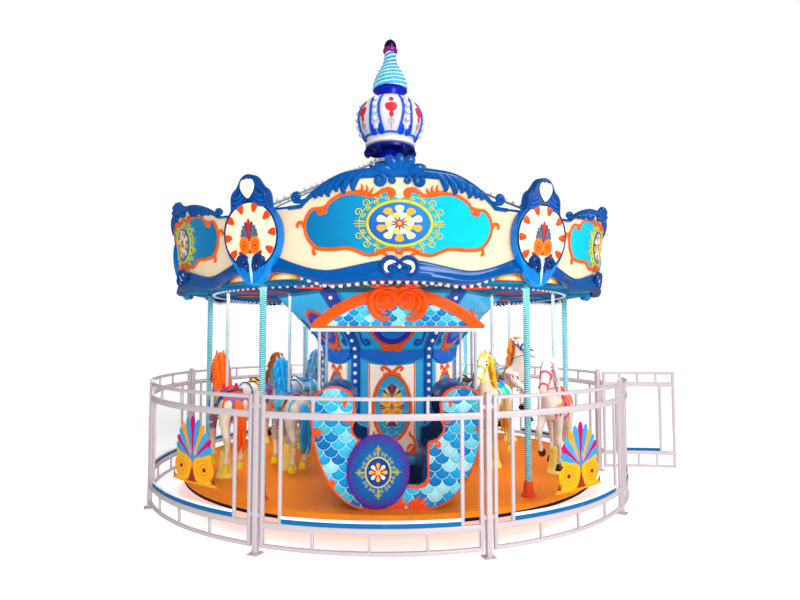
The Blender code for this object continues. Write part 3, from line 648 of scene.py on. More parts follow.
def crownTrims():
    wall = -crown["board"]
    hemProfile = [(0.0, wall - 0.004), (-0.05, wall + 0.004), (-0.07, 0.0), (0.0, 0.034), (0.18, 0.05),
        (0.42, 0.04), (0.62, 0.022), (0.8, 0.02), (0.94, 0.016), (1.0, 0.006), (1.0, -0.006)]
    crestLow = [(x, z - between([(0, 0.075), (0.25, 0.07), (0.55, 0.05), (0.8, 0.03)], x)) for x, z in crestSoft]
    crestProfile = [(0.0, -0.004), (0.0, 0.01), (0.25, 0.026), (0.6, 0.03), (0.88, 0.02), (1.05, 0.004),
                    (1.08, -0.012), (1.02, wall - 0.003), (0.7, wall - 0.005)]
    pieces = [closedBand("hemTrim", hemSoft, hemTopSoft, 1.17, hemProfile),
              closedBand("crestTrim", crestLow, crestSoft, 0.86, crestProfile),
              closedBand("edgeTrim", [(0, 2.484), (1.2, 2.484)], [(0, 2.503), (1.2, 2.501)], 1.17,
                         [(0.0, -0.004), (0.0, 0.003), (0.5, 0.008), (1.0, 0.003), (1.15, -0.015),
                          (1.0, wall - 0.003), (0.6, wall - 0.004)])]
    pick(pieces[2])        # only the part beyond the crest's volutes stays
    bpy.ops.object.mode_set(mode="EDIT")
    for side in (1, -1):
        bpy.ops.mesh.select_all(action="SELECT")
        bpy.ops.mesh.bisect(plane_co=(side * crown["volute"], 0, 0), plane_no=(side, 0, 0))
    bpy.ops.mesh.select_all(action="DESELECT")
    bpy.ops.object.mode_set(mode="OBJECT")
    for polygon in pieces[2].data.polygons:
        polygon.select = abs(polygon.center.x) < crown["volute"]
    bpy.ops.object.mode_set(mode="EDIT")
    bpy.ops.mesh.delete(type="FACE")
    bpy.ops.object.mode_set(mode="OBJECT")
    return pieces


def closedBand(name, lowLine, highLine, half, profile):
    # a moulding whose (share of the height, depth) profile follows two lines along a board
    rows = len(profile)

    def place(u, v):
        x = half * (2 * u - 1)
        low, high = between(lowLine, abs(x)), between(highLine, abs(x))
        share, out = profile[round(v * rows) % rows]
        return onCrown(x, low + (high - low) * share, out)
    return outward(sheet(name, 64, rows, place), filled=True)


def taper(line, first=1.0, last=0.15, belly=0.0):          # gives each point of a line its share of the thickness
    count = max(len(line) - 1, 1)
    return [(x, z, first + (last - first) * i / count + belly * sin(pi * i / count))
            for i, (x, z) in enumerate(line)]


def bothSides(line, side):                                 # the line itself for side 1, its mirror image for -1
    return [(side * p[0],) + tuple(p[1:]) for p in line]


def crownCarving():
    # volutes at the ends of the crest, leaves that hang from it, the shell and the two scrolls under it
    lines = []
    for side in (1, -1):
        volute = [(0.64, 2.59), (0.7, 2.54), (0.75, 2.528)] + curl(0.782, 2.562, 0.032, -70, 0.95, 0.2)
        lines.append(taper(smoothLine(bothSides(volute, side), 2), 0.5, 0.75, 0.25))
        for x, wide, long in ((0.29, 0.066, 0.125), (0.352, 0.08, 0.14), (0.415, 0.07, 0.108),
                (0.475, 0.074, 0.122), (0.535, 0.064, 0.09), (0.59, 0.05, 0.07)):
            top = between(crestSoft, x) - 0.03
            finger = [(x - 0.03, top + 0.01), (x + 0.3 * wide, top - 0.22 * long),
                (x + 0.72 * wide, top - 0.58 * long), (x + 0.8 * wide, top - 0.85 * long),
                (x + 0.62 * wide, top - long)]
            lines.append(taper(smoothLine(bothSides(finger, side), 3), 0.6, 0.25, 0.62))
        scroll = [(0.235, 2.722), (0.185, 2.712)] + curl(0.15, 2.664, 0.046, 70, 1.15, 0.15)
        lines.append(taper(smoothLine(bothSides(scroll, side), 2), 0.5, 0.55, 0.35))
        inner = [(0.1, 2.712), (0.076, 2.708), (0.06, 2.69)] + curl(0.052, 2.664, 0.024, 60, -1.0, 0.2)
        lines.append(taper(smoothLine(bothSides(inner, side), 2), 0.45, 0.35, 0.15))
    carving = strands("crestCarving", lines, 0.026, sides=2, flat=0.8)
    lobes = []
    for lean, reach, long, wide in ((90, 0.076, 0.07, 0.044), (52, 0.092, 0.07, 0.046), (128, 0.092, 0.07, 0.046),
                                    (14, 0.124, 0.076, 0.044), (166, 0.124, 0.076, 0.044)):
        lobe = ball(14, 10)
        turn = radians(lean)
        lobe.matrix_world = (Matrix.Translation((reach * cos(turn), -0.012, 2.709 + reach * sin(turn)))
                             @ Matrix.Rotation(pi / 2 - turn, 4, "Y") @ Matrix.Diagonal((wide, 0.034, long, 1)))
        lobes.append(settle(lobe))
    shell = joinAll("crestShell", lobes)
    return [bentRound(proud(carving, 0.016)), bentRound(shell)]


insetTop = [(0.0, 2.53), (0.04, 2.545), (0.09, 2.588), (0.14, 2.572), (0.22, 2.548), (0.27, 2.56), (0.33, 2.574),
            (0.4, 2.572), (0.47, 2.55), (0.525, 2.515), (0.556, 2.482), (0.6, 2.462), (0.655, 2.47), (0.695, 2.44),
            (0.722, 2.395), (0.732, 2.34)]
insetLow = [(0.0, 2.15), (0.06, 2.158), (0.12, 2.144), (0.19, 2.126), (0.26, 2.128), (0.33, 2.156), (0.4, 2.176),
            (0.52, 2.17), (0.63, 2.182), (0.69, 2.23), (0.722, 2.285), (0.732, 2.34)]
# the inset's colours run from painted shade at one end to painted light at the other
inset = {"half": 0.732, "span": 38.4, "out": 0.006, "thick": 0.007,
         "colours": ("#00689E", "#0680B2", "#0CA4D0", "#00B8E4", "#00C0EA")}
insetTopSoft, insetLowSoft = smoothLine(insetTop), smoothLine(insetLow)


def crownInset():          # painted light: dark turquoise at one end, bright at the other, as if lit from one side
    def place(u, v):
        x = inset["half"] * sin(pi * (u - 0.5))
        low, high = between(insetLowSoft, abs(x)), between(insetTopSoft, abs(x))
        return onCrown(x, low + (high - low) * v, inset["out"])
    insets = copiedRound("crownInsets", sheet("crownInset", 56, 6, place, thick=inset["thick"], merge=nearly),
        sixth)

    # the painted light runs the other way on every second board, so each side board is lit from the other side
    def fade(spot):
        place = (degrees(atan2(spot.x, -spot.y)) - restTurn) / 60
        share = (place - round(place)) * 60 / inset["span"] * (-1 if round(place) % 2 else 1) + 0.5
        return blend(inset["colours"], share)
    return shaded(insets, fade)


def crownScrolls():
    lines = []
    for side in (1, -1):
        def add(line, *shares):
            lines.append(bothSides(taper(line, *shares), side))
        add([p for p in insetLowSoft if p[0] > 0.115], 0.8, 0.85, 0.25)
        add([p for p in insetTopSoft if 0.235 < p[0] < 0.585], 0.7, 0.8, 0.25)
        add([p for p in insetTopSoft if p[0] > 0.585], 0.7, 0.85, 0.15)
        head = smoothLine([(0.33, 2.574), (0.25, 2.556), (0.18, 2.556), (0.125, 2.588), (0.082, 2.598)], 3)
        add(head + curl(0.066, 2.568, 0.026, 75, 0.9, 0.3), 0.6, 0.8, 0.75)
        add(smoothLine([(0.36, 2.576), (0.3, 2.58), (0.262, 2.572), (0.238, 2.6), (0.246, 2.632)], 4), 1.0, 0.2,
            0.6)
        add(smoothLine([(0.33, 2.578), (0.285, 2.59), (0.276, 2.615), (0.284, 2.64)], 3), 0.7, 0.15, 0.4)
        add(smoothLine([(0.3, 2.572), (0.235, 2.566), (0.205, 2.59), (0.2, 2.612)], 3), 0.7, 0.15, 0.4)
        add([(0.545, 2.498)] + curl(0.566, 2.455, 0.028, 140, -0.95, 0.3), 0.8, 0.6, 0.4)
        add([(0.64, 2.474)] + curl(0.606, 2.448, 0.026, 60, 0.95, 0.3), 0.8, 0.6, 0.4)
        add(smoothLine([(0.732, 2.33), (0.748, 2.368), (0.776, 2.376), (0.794, 2.352), (0.784, 2.338)], 4), 0.9,
            0.5, 0.3)
        add(smoothLine([(0.655, 2.196), (0.666, 2.165), (0.66, 2.138), (0.648, 2.146)], 4), 1.0, 0.5, 0.2)
        add(smoothLine([(0.26, 2.128), (0.18, 2.136), (0.12, 2.16), (0.06, 2.17), (0.022, 2.156), (0.01, 2.128)],
            4), 0.5, 0.9, 0.5)
        add(smoothLine([(0.14, 2.142), (0.1, 2.13), (0.085, 2.112)], 3), 0.8, 0.3, 0.2)
    scrolls = strands("crownScroll", lines, 0.0132, sides=2, flat=0.8)
    return copiedRound("crownScrolls", bentRound(proud(scrolls, 0.006)), sixth)


medallion = {"z": 2.352, "wide": 0.243, "high": 0.164}


def crownFiligree():       # a frame of two rows of curls at each side of the medallion
    lines = []
    for side in (1, -1):
        for reach, size, angles in ((1.36, 0.03, (-60, -41, -22, 22, 41, 60)),
                (1.16, 0.018, (-70, -52, -34, -17, 17, 34, 52, 70))):
            for angle in angles:
                turn = radians(angle)
                x, z = medallion["wide"] * reach * cos(turn), medallion["z"] + medallion["high"] * reach * sin(turn)
                first = angle + (150 if angle > 0 else -150)
                turned = curl(x, z, size, first, -1.2 if angle > 0 else 1.2, 0.25, 12)
                lines.append(bothSides(taper(turned, 1.0, 0.7), side))
        for k in (-1, 0, 1):
            lines.append(bothSides([(0.255, 2.352 + 0.016 * k, 1.2),
                (0.346 - 0.012 * abs(k), 2.352 + 0.02 * k, 0.8)], side))
        stalk = oval(0, medallion["z"], medallion["wide"] * 1.25, medallion["high"] * 1.25, 22, -68, 68)
        lines.append(bothSides([(x, z, 0.7) for x, z in stalk], side))
    filigree = strands("filigree", lines, 0.0046, sides=1)
    ring = strands("filigreeRing", [oval(0, medallion["z"], medallion["wide"], medallion["high"], 48)], 0.0115,
        sides=2, closed=True, flat=0.7)
    return copiedRound("crownFiligree", bentRound(proud(joinAll("filigree", [filigree, ring]), 0.01)), sixth)


def crownEmblem():         # the medallion's field with a rosette, and the two rings of the bow on the hem
    parts = []

    def field(u, v):
        turn = 2 * pi * u
        return Vector((0.237 * v * cos(turn), -0.0105, medallion["z"] + 0.158 * v * sin(turn)))
    # painted light: the field is lighter towards its upper right and darker towards its lower left
    parts.append(shaded(sheet("medallionField", 36, 4, field, merge=nearly),
                        lambda spot: blend(("#1450A0", "#1A6CB8", "#1E7CC4"), (spot.x + spot.z - 2.0) / 0.6)))
    for ring, (start, long, wide, codes) in enumerate(((0.04, 0.092, 0.058, ("#F5DDB0", "#F0A43A")),
            (0.018, 0.062, 0.044, ("#FBF0DC", "#F2C66A")))):
        for k in range(10):
            turn = radians(36 * k + 18 * ring)
            shape = [((x * cos(turn) + z * sin(turn)) * 1.34, medallion["z"] - x * sin(turn) + z * cos(turn))
                     for x, z in drop(0, start, 0, long, wide)]
            parts.append(sawn("petal", shape, 0.002, 0.0115 + 0.0015 * ring + 0.0004 * (k % 2), codes[k % 2]))
    parts += [sawn("rosetteHeart", oval(0, medallion["z"], 0.034, 0.028, 18), 0.003, 0.015, "#D8381E"),
              sawn("rosetteEye", oval(0, medallion["z"], 0.016, 0.013, 12), 0.003, 0.0165, "#F8D24A")]
    for side in (1, -1):
        outer = bothSides(taper(smoothLine([(0.008, 2.06), (0.022, 2.088), (0.066, 2.104), (0.118, 2.082),
            (0.134, 2.034), (0.112, 1.988), (0.07, 1.972), (0.04, 1.99)], 4), 0.75, 0.45, 0.35), side)
        inner = bothSides(taper([(0.01, 2.075), (0.016, 2.045)] + curl(0.05, 2.026, 0.026, 160, -1.05, 0.25, 12),
            0.8, 0.5, 0.2), side)
        parts += [carved("bowRing", [outer], 0.0165, 0.044, "#083C86", sides=2),
                  carved("bowCurl", [inner], 0.0125, 0.044, "#0A4C9C", sides=2)]
        moon = smoothLine([(0.02, 2.072), (0.07, 2.084), (0.108, 2.062), (0.116, 2.026), (0.098, 1.994),
            (0.076, 1.99), (0.092, 2.018), (0.086, 2.044), (0.06, 2.056)], 4, True)
        parts.append(sawn("bowMoon", bothSides(moon, side), 0.006, 0.038, "#F4E2C8"))
    parts += [sawn("bowKnot", [(0, 2.018), (0.014, 2.034), (0, 2.052), (-0.014, 2.034)], 0.01, 0.044, "#F4E8DC"),
        carved("bowTail", [bothSides([(0.004, 2.01, 1.0), (0.03, 1.975, 0.6)], side) for side in (1, -1)], 0.007,
        0.044, "#0A3A80", sides=1)]
    emblem = joinAll("crownEmblem", parts)
    return copiedRound("crownEmblems", bentRound(crossCut(emblem, -0.18, 0.18, 0.06)), sixth)


dressed(sideBoardsLower(crownBoards()), boardIvory, slot="ivory",
    replaces=[f"crown_board_{i + 1}" for i in range(6)])
dressed(sideBoardsLower(crownLiner()), linerNavy, slot="navy")
crownMouldings = copiedRound("crownTrims", joinAll("trim", crownTrims() + crownCarving()), sixth)
dressed(sideBoardsLower(crownMouldings), trimAzure, slot="azure")
dressed(sideBoardsLower(crownInset()), fairPaint, slot="sky")
dressed(sideBoardsLower(crownScrolls()), scrollOrange, slot="orange")
dressed(sideBoardsLower(crownFiligree()), filigreeGold, slot="orange")
dressed(sideBoardsLower(crownEmblem()), fairPaint)
print("crown boards dressed")


# Cartouches, one over each corner of the crown

badge = {"z": 2.305, "face": 0.25, "board": 0.07, "marks": 10, "bulb": 0.016}
badgeLean = atan((crown["highRadius"] - crown["lowRadius"]) / (crown["highZ"] - crown["lowZ"]))
badgeBack = crownRadius(badge["z"]) + crown["board"] + 0.0005 / cos(badgeLean)
badgePlace = (Matrix.Translation((0, -badgeBack, badge["z"])) @ Matrix.Rotation(badgeLean, 4, "X")
              @ Matrix.Translation((0, 0, -badge["z"])))
badgeAzimuths = [azimuth + 30 for azimuth in sixth]


def onBadges(name, piece):
    return scattered(name, piece, [turnedBy(azimuth) @ badgePlace for azimuth in badgeAzimuths])


def palmette(name, size, colours, depth=0.003):
    # two scrolls at the foot and a fan of feathers over them, about one unit high, scaled by size
    def sized(line, side=1):
        return [(size * side * x, size * z) for x, z in line]
    parts = []
    side = [(15, 0.6, 3), (31, 0.55, 2), (45, 0.5, 1), (60, 0.46, 2), (78, 0.4, 3)]
    fan = [(-lean, long, colour) for lean, long, colour in reversed(side)] + [(0, 0.66, 0)] + side
    for k, (lean, long, colour) in enumerate(fan):
        parts.append(sawn("feather", sized(drop(0, 0.34, lean, long, 0.15)), depth, depth * (0.2 + 0.1 * (k % 2)),
                          colours["feathers"][colour]))
    for side in (1, -1):
        body = smoothLine([(0.02, 0.34), (0.1, 0.46), (0.28, 0.5), (0.44, 0.4), (0.46, 0.22), (0.4, 0.1),
                           (0.24, 0.02), (0.06, 0.04), (0.03, 0.16)], 4, True)
        parts.append(sawn("scrollBody", sized(body, side), depth, depth * 0.5, colours["scroll"]))
        ring = oval(size * side * 0.25, size * 0.25, size * 0.115, size * 0.115, 20)
        parts.append(carved("scrollRing", [ring], size * 0.018, depth * 1.5, colours["line"], sides=1, closed=True,
            flat=0.3))
        eye = oval(size * side * 0.25, size * 0.25, size * 0.045, size * 0.045, 12)
        parts.append(sawn("scrollEye", eye, depth, depth * 0.9, colours["eye"]))
        tail = sized([(0.3, 0.02), (0.46, 0.1), (0.54, 0.08), (0.5, 0.0)], side)
        parts.append(sawn("scrollTail", tail, depth * 0.8, 0, colours["eye"]))
    parts.append(sawn("palmetteHeart", sized([(0.0, 0.16), (0.07, 0.02), (-0.07, 0.02)]), depth, 0, colours["eye"]))
    return joinAll(name, parts)


def badgeBoard():          # a hood over a round face, with a pointed foot; the hood and foot are darker than the side
    right = [(0.0, 1.922), (0.048, 1.936), (0.094, 1.968), (0.136, 2.02), (0.182, 2.088), (0.228, 2.16),
        (0.256, 2.24), (0.263, 2.32), (0.25, 2.4), (0.215, 2.462), (0.184, 2.5), (0.178, 2.55), (0.174, 2.6),
        (0.152, 2.64), (0.12, 2.662), (0.094, 2.695), (0.066, 2.735), (0.03, 2.757), (0.0, 2.762)]
    half = smoothLine(right, 3)
    outline = half + [(-x, z) for x, z in reversed(half[1:-1])]
    board = cutouts("badgeBoard", [outline], badge["board"], bevel=0.006)
    depth = badge["board"]
    shaded(board, lambda spot: tint("#0A3A80") if spot.z > 2.5 and spot.y < 0.006 - depth else
           blend(("#0090E8", "#0070CC", "#0058B0"), (spot.z - 1.95) / 0.7))
    parts = [board, carved("badgeRim", [oval(0, badge["z"], 0.256, 0.252, 56)], 0.0075, depth, "#0A2450", sides=2,
        closed=True)]
    hoodLines, ribs, foot, volutes = [], [], [], []
    for side in (1, -1):
        edge = [(0.168, 2.515), (0.163, 2.56), (0.16, 2.6), (0.142, 2.628), (0.112, 2.65), (0.084, 2.686),
                (0.058, 2.724), (0.0, 2.748)]
        hoodLines.append(bothSides(taper(smoothLine(edge, 3), 0.9, 1.0, 0.3), side))
        for a, b, c in (((0.15, 2.56), (0.11, 2.56), (0.05, 2.6)), ((0.145, 2.6), (0.105, 2.595), (0.062, 2.64)),
                        ((0.165, 2.52), (0.1, 2.53), (0.03, 2.57))):
            ribs.append(bothSides(taper(smoothLine([a, b, c], 5), 0.9, 0.5, 0.6), side))
        volutes.append(bothSides(taper([(0.03, 2.03), (0.024, 2.07)] + curl(0.08, 2.104, 0.044, 175, -0.95, 0.2,
            14), 0.6, 0.75, 0.5), side))
        for x0, x1 in ((0.15, 0.045), (0.11, 0.03), (0.075, 0.018)):
            foot.append(bothSides(taper(smoothLine([(x0, 2.082 - 0.25 * (0.15 - x0)), (0.6 * x0 + 0.4 * x1, 2.01),
                                                    (x1 * 0.5, 1.94)], 5), 0.9, 0.4, 0.5), side))
    parts += [carved("hoodEdge", hoodLines, 0.011, depth - 0.003, "#0C468E", sides=2),
              carved("hoodRibs", ribs, 0.013, depth - 0.004, "#0A52A8", sides=2),
              carved("footRibs", foot, 0.012, depth - 0.003, "#1078D0", sides=2),
              carved("badgeVolutes", volutes, 0.025, depth + 0.014, "#0A3276", sides=3)]
    return onBadges("badgeBoards", joinAll("badge", parts))


def badgeFace():
    def dome(u, v):
        reach, angle = v, 2 * pi * u
        out = badge["board"] + 0.002 + 0.012 * (1 - reach * reach)
        return Vector((badge["face"] * reach * cos(angle), -out, badge["z"] + 0.246 * reach * sin(angle)))
    face = painted(outward(sheet("badgeFace", 40, 5, dome, merge=nearly)), "#F6E4CA")
    leaf = smoothLine([(0.0, 2.588), (0.034, 2.616), (0.062, 2.662), (0.06, 2.704), (0.04, 2.724), (0.02, 2.722),
        (0.0, 2.73), (-0.02, 2.722), (-0.04, 2.724), (-0.06, 2.704), (-0.062, 2.662), (-0.034, 2.616)], 3, True)
    insert = sawn("badgeLeaf", leaf, 0.012, badge["board"], "#F0EEDA", bevel=0.004)
    vein = carved("leafVein", [[(0, 2.61, 0.5), (0, 2.66, 1.0), (0, 2.7, 0.5)]], 0.005, badge["board"] + 0.01,
        "#CFC9A0", sides=1)
    drip = sawn("badgeDrip", [(-0.02, 2.13), (0.02, 2.13), (0.012, 2.06), (0.006, 1.99), (0.0, 1.95),
        (-0.006, 1.99), (-0.012, 2.06)], 0.01, badge["board"] + 0.012, "#C4ECF4", bevel=0.002)
    return onBadges("badgeFaces", joinAll("badgeFace", [face, insert, vein, drip]))


def badgeMarks():
    shape = ((0.18, -0.01), (0.18, 0.01), (0.212, 0.024), (0.24, 0.025), (0.24, -0.025), (0.212, -0.024))
    marks, step = [], 360 / badge["marks"]
    for k in range(badge["marks"]):
        turn = radians(75 + step * k)
        if sin(turn) < -0.8:
            continue
        along, side = (cos(turn), sin(turn)), (-sin(turn), cos(turn))
        marks.append(smoothLine([(along[0] * r + side[0] * w, badge["z"] + along[1] * r + side[1] * w)
                                 for r, w in shape], 2, True))
    return onBadges("badgeMarks", cutouts("badgeMark", marks, 0.008, bevel=0.002, out=badge["board"] + 0.001))


def badgeLamps():
    step = 360 / badge["marks"]
    spots = []
    for reach, count, low in ((0.196, badge["marks"], -0.8), (0.148, 9, -0.6)):
        for k in range(count):
            turn = radians(75 + step / 2 + 360 / count * k)
            if sin(turn) > low:
                spots.append((reach * cos(turn), reach * sin(turn)))
    places = [turnedBy(azimuth) @ badgePlace @ Matrix.Translation((x, -badge["board"] - 0.012, badge["z"] + z))
              for azimuth in badgeAzimuths for x, z in spots]
    return scattered("badgeLamps", lampModel(badge["bulb"]), places)


def lampModel(size):
    return ball(8, 5, size)


badgeColours = {"feathers": ("#D01F2E", "#3E5A78", "#57687C", "#6B3A54"), "scroll": "#F5760E", "line": "#D9380C",
                "eye": "#B02A10"}
badgeFlower = palmette("badgeFlower", 0.21, badgeColours)
for point in badgeFlower.data.vertices:
    point.co.z = point.co.z * 1.28 + badge["z"] - 0.145
    point.co.y -= badge["board"] + 0.013

dressed(badgeBoard(), fairPaint, slot="azure", replaces=[f"cartouche_{i + 1}" for i in range(6)])
dressed(badgeFace(), fairPaint, slot="ivory")
dressed(badgeMarks(), lampRed, slot="orange")
dressed(badgeLamps(), lampWarm)
dressed(onBadges("badgeFlowers", badgeFlower), fairPaint)
print("cartouches dressed")


# Lamps under the crown, soffit and ceiling

hemLamps = {"each": 35, "radius": 2.092, "size": 0.019, "drop": 0.012}
rowLamps = {"count": 150, "radius": 1.845, "size": 0.014, "z": 1.934}
ceiling = {"fieldZ": 1.9515, "starZ": 1.95, "heartZ": 1.9488}


def lampRows():
    places = []
    for azimuth in sixth[::2]:
        for k in range(hemLamps["each"]):
            share = (k + 0.5) / hemLamps["each"] * 2 - 1
            x = crown["halfLength"] * share
            z = between(hemSoft, abs(x)) - hemLamps["drop"]
            places.append(Matrix.Translation(onCircle(hemLamps["radius"], azimuth + degrees(x / crown["arc"]), z)))
    return scattered("hemLamps", lampModel(hemLamps["size"]), places)


def rowOfLamps():
    places = [Matrix.Translation(onCircle(rowLamps["radius"], 360 * k / rowLamps["count"] + restTurn,
        rowLamps["z"])) for k in range(rowLamps["count"])]
    return scattered("rowLamps", lampModel(rowLamps["size"]), places)


def soffit():              # the painted strip just inside the crown, with an orange and cream motif at each corner
    ring = lathe("soffit", [(2.098, 1.957), (2.098, 1.95), (2.05, 1.945), (1.995, 1.95), (1.9, 1.948),
        (1.89, 1.957)], sides=120, closed=True)
    shaded(ring, lambda spot: blend(("#0C74B0", "#16A0C4", "#0C74B0", "#0A5C98"),
        (degrees(atan2(spot.x, -spot.y)) / 20) % 1.0))
    arches = (("#EE6410", 0.15, 1.96, 2.016, 0.0015), ("#F6C24A", 0.118, 1.964, 2.006, 0.003),
              ("#F6E2C4", 0.07, 1.968, 1.996, 0.0045))
    parts = [ring]
    for azimuth in badgeAzimuths:
        for code, wide, low, high, out in arches:
            for side in (1, -1):
                def arch(u, v):
                    x = wide * (2 * u - 1)
                    z = low + (high - low) * sqrt(max(0.0, 1 - (x / wide) ** 2)) * v
                    radius = crownRadius(1.972) + out
                    return onCircle(radius, azimuth + side * 5.6 + degrees(x / radius), z)
                parts.append(painted(sheet("cornerArch", 10, 2, arch, merge=nearly), code))
    return joinAll("soffit", parts)


def lampRail():
    rail = lathe("lampRail", [(1.88, 1.957), (1.88, 1.944), (1.868, 1.936), (1.822, 1.936), (1.81, 1.944),
                              (1.81, 1.957)], sides=120, closed=True)
    shaded(rail, lambda spot: tint("#1878B8"))
    return rail


def ceilingPanels():       # painted fields between the lamp rail and the column's head
    parts = []
    fields = (("ceilingOrange", "#E8570F", 0, 1.16, 0.6, 14, ceiling["starZ"], lambda v: 8.5 * sin(pi * v) ** 0.8),
        ("ceilingHeart", "#1560B4", 0, 1.24, 0.44, 12, ceiling["heartZ"], lambda v: 4.6 * sin(pi * v) ** 0.9),
        ("ceilingKite", "#0F4C9C", 30, 1.2, 0.57, 10, ceiling["starZ"], lambda v: 10.0 * (1 - abs(2 * v - 1))),
        ("ceilingKiteHeart", "#EE6A18", 30, 1.29, 0.4, 8, ceiling["heartZ"], lambda v: 5.6 * (1 - abs(2 * v - 1))))
    for azimuth in sixth:
        for side, code in ((-1, "#1484C4"), (1, "#0C68AC")):
            def place(u, v):
                return onCircle(1.05 + 0.755 * v, azimuth + side * (0.4 + 29.2 * u), ceiling["fieldZ"])
            parts.append(painted(sheet("ceilingField", 10, 3, place), code))
        for name, code, turn, near, long, rows, z, halfWidth in fields:
            def place(u, v):
                wide = halfWidth(min(max(v, 0.0), 1.0))
                return onCircle(near + long * v, azimuth + turn + wide * (2 * u - 1), z)
            parts.append(painted(sheet(name, 4, rows, place, merge=nearly), code))
    piece = joinAll("ceilingPanels", parts)
    for polygon in piece.data.polygons:
        if polygon.normal.z > 0:
            polygon.flip()
    return piece


dressed(lampRows(), lampClear)
dressed(rowOfLamps(), lampClear)
dressed(soffit(), mattePaint, slot="azure")
dressed(lampRail(), mattePaint, slot="ivory")
dressed(ceilingPanels(), mattePaint)
print("ceiling dressed")


# Spire

spire = {"onion": 3.7, "neck": 4.205, "cone": 4.262, "coneTop": 4.696, "starts": 3, "twist": 1080, "sunk": 0.035,
         "lobe": 1.045, "bulb": 0.03, "lamps": 5}
mast = {"foot": (0.72, 2.05), "head": (0.085, 3.568), "wide": 0.046, "narrower": 0.012}
stays = {"foot": (2.09, 2.54), "head": (0.22, 3.42), "rod": 0.011, "bulb": 0.014, "lamps": 20}
spireWhite = paint("spireWhite", "#F0EEF8", 0.25, 0.1)
spireBlue = paint("spireBlue", "#0A20B8", 0.2, 0.4, 5.0, coat=0.5)


def onionReach(z):
    return between([(3.7, 0.245), (3.74, 0.275), (3.8, 0.308), (3.87, 0.33), (3.95, 0.338), (4.03, 0.33),
                    (4.1, 0.298), (4.15, 0.255), (4.19, 0.195), (4.205, 0.15)], z)


def spireOnion():
    def roll(u, v):
        z = spire["onion"] + (spire["neck"] - spire["onion"]) * v
        reach = onionReach(z) * (1 + 0.045 * abs(cos(6 * pi * u)) * (1 if 3.74 < z < 4.16 else 0.5))
        return onCircle(reach, 360 * u, z)
    onion = sheet("spireOnion", 72, 20, roll, merge=nearly)
    ring = lathe("spireRing", [(0.17, 3.648), (0.262, 3.648), (0.274, 3.656), (0.276, 3.68), (0.268, 3.694),
        (0.246, 3.702), (0.17, 3.704)], sides=48)
    return smoothed(joinAll("spireOnion", [onion, ring]))


def spirePanels():         # on each lobe a blue frame and a red ornament, with blue corners under them
    parts = []

    def onLobe(x, z, out):
        return onCircle(onionReach(z) * spire["lobe"] + out, degrees(x / 0.33), z)
    for side in (1, -1):
        line = smoothLine([(0.085, 3.735), (0.106, 3.82), (0.123, 3.92), (0.127, 4.0), (0.12, 4.09), (0.108, 4.15)],
            5)
        parts.append(painted(strands("lobeFrame", [bothSides(line, side)], 0.014, sides=1, flat=0.7), "#1E5CE4"))
        corner = smoothLine([(0.094, 3.722), (0.16, 3.722), (0.16, 3.77), (0.122, 3.83), (0.108, 3.79)], 3, True)
        parts.append(sawn("lobeCorner", bothSides(corner, side), 0.004, -0.004, "#0A50F0"))
    parts.append(painted(strands("lobeSill", [[(-0.09, 3.732), (0.0, 3.738), (0.09, 3.732)]], 0.011, sides=1,
        flat=0.7), "#2E7FE6"))
    for x, z, wide, high in ((0.0, 3.985, 0.058, 0.052), (0.0, 4.075, 0.026, 0.028), (-0.036, 4.0, 0.026, 0.03),
                             (0.036, 4.0, 0.026, 0.03), (0.002, 3.905, 0.022, 0.036), (0.0, 3.94, 0.014, 0.02)):
        parts.append(sawn("lobeOrnament", oval(x, z, wide, high, 14), 0.004, -0.004, "#E8303C"))
    parts.append(painted(strands("lobeStem", [[(0.004, 3.77), (-0.002, 3.82), (0.0, 3.88)]], 0.004, sides=1),
        "#C08A7A"))
    for side in (1, -1):
        line = [(side * 0.016, 3.86), (side * 0.03, 3.835), (side * 0.014, 3.81)]
        parts.append(painted(strands("lobeLine", [line], 0.004, sides=1), "#C89A8A"))
    piece = joinAll("lobePanel", parts)
    crossCut(piece, -0.16, 0.16, 0.04)
    for point in piece.data.vertices:
        point.co = onLobe(point.co.x, point.co.z, -point.co.y + 0.004)
    return copiedRound("spirePanels", piece, sixth)


def spireLamps():
    places = []
    for azimuth in sixth:
        for k in range(spire["lamps"]):
            z = 3.79 + 0.078 * k
            places.append(turnedBy(azimuth + 30) @ Matrix.Translation((0, -onionReach(z) - 0.02, z)))
    return scattered("spireLamps", lampModel(spire["bulb"]), places)


def spireNeck():           # the neck over the onion, and under its ring a brim with six hanging fins
    neck = painted(lathe("spireNeck", [(0.1, 4.16), (0.152, 4.164), (0.146, 4.19), (0.148, 4.235), (0.168, 4.258),
        (0.185, 4.2605), (0.186, 4.264), (0.1, 4.266)], sides=40), "#0818B4")
    brim = painted(lathe("spireBrim", [(0.15, 3.572), (0.24, 3.566), (0.266, 3.556), (0.28, 3.566), (0.276, 3.592),
        (0.258, 3.608), (0.25, 3.6125), (0.15, 3.6125)], sides=48), "#0A1A7C")
    hub = painted(lathe("spireHub", [(0.04, 3.5), (0.08, 3.5), (0.092, 3.572), (0.15, 3.5725), (0.15, 3.58),
        (0.04, 3.58)], sides=24), "#0A14C0")
    fin = sawn("brimFin", smoothLine([(0.19, 3.572), (0.268, 3.572), (0.286, 3.552), (0.276, 3.522), (0.248, 3.5),
        (0.23, 3.512), (0.236, 3.534), (0.214, 3.548)], 3, True), 0.036, 0, "#0A1A7C", bevel=0.006)
    for point in fin.data.vertices:
        point.co = Vector((point.co.y + 0.018, -point.co.x, point.co.z))
    fins = copiedRound("brimFins", outward(fin), badgeAzimuths)
    return smoothed(joinAll("spireNeck", [neck, brim, hub, fins]))


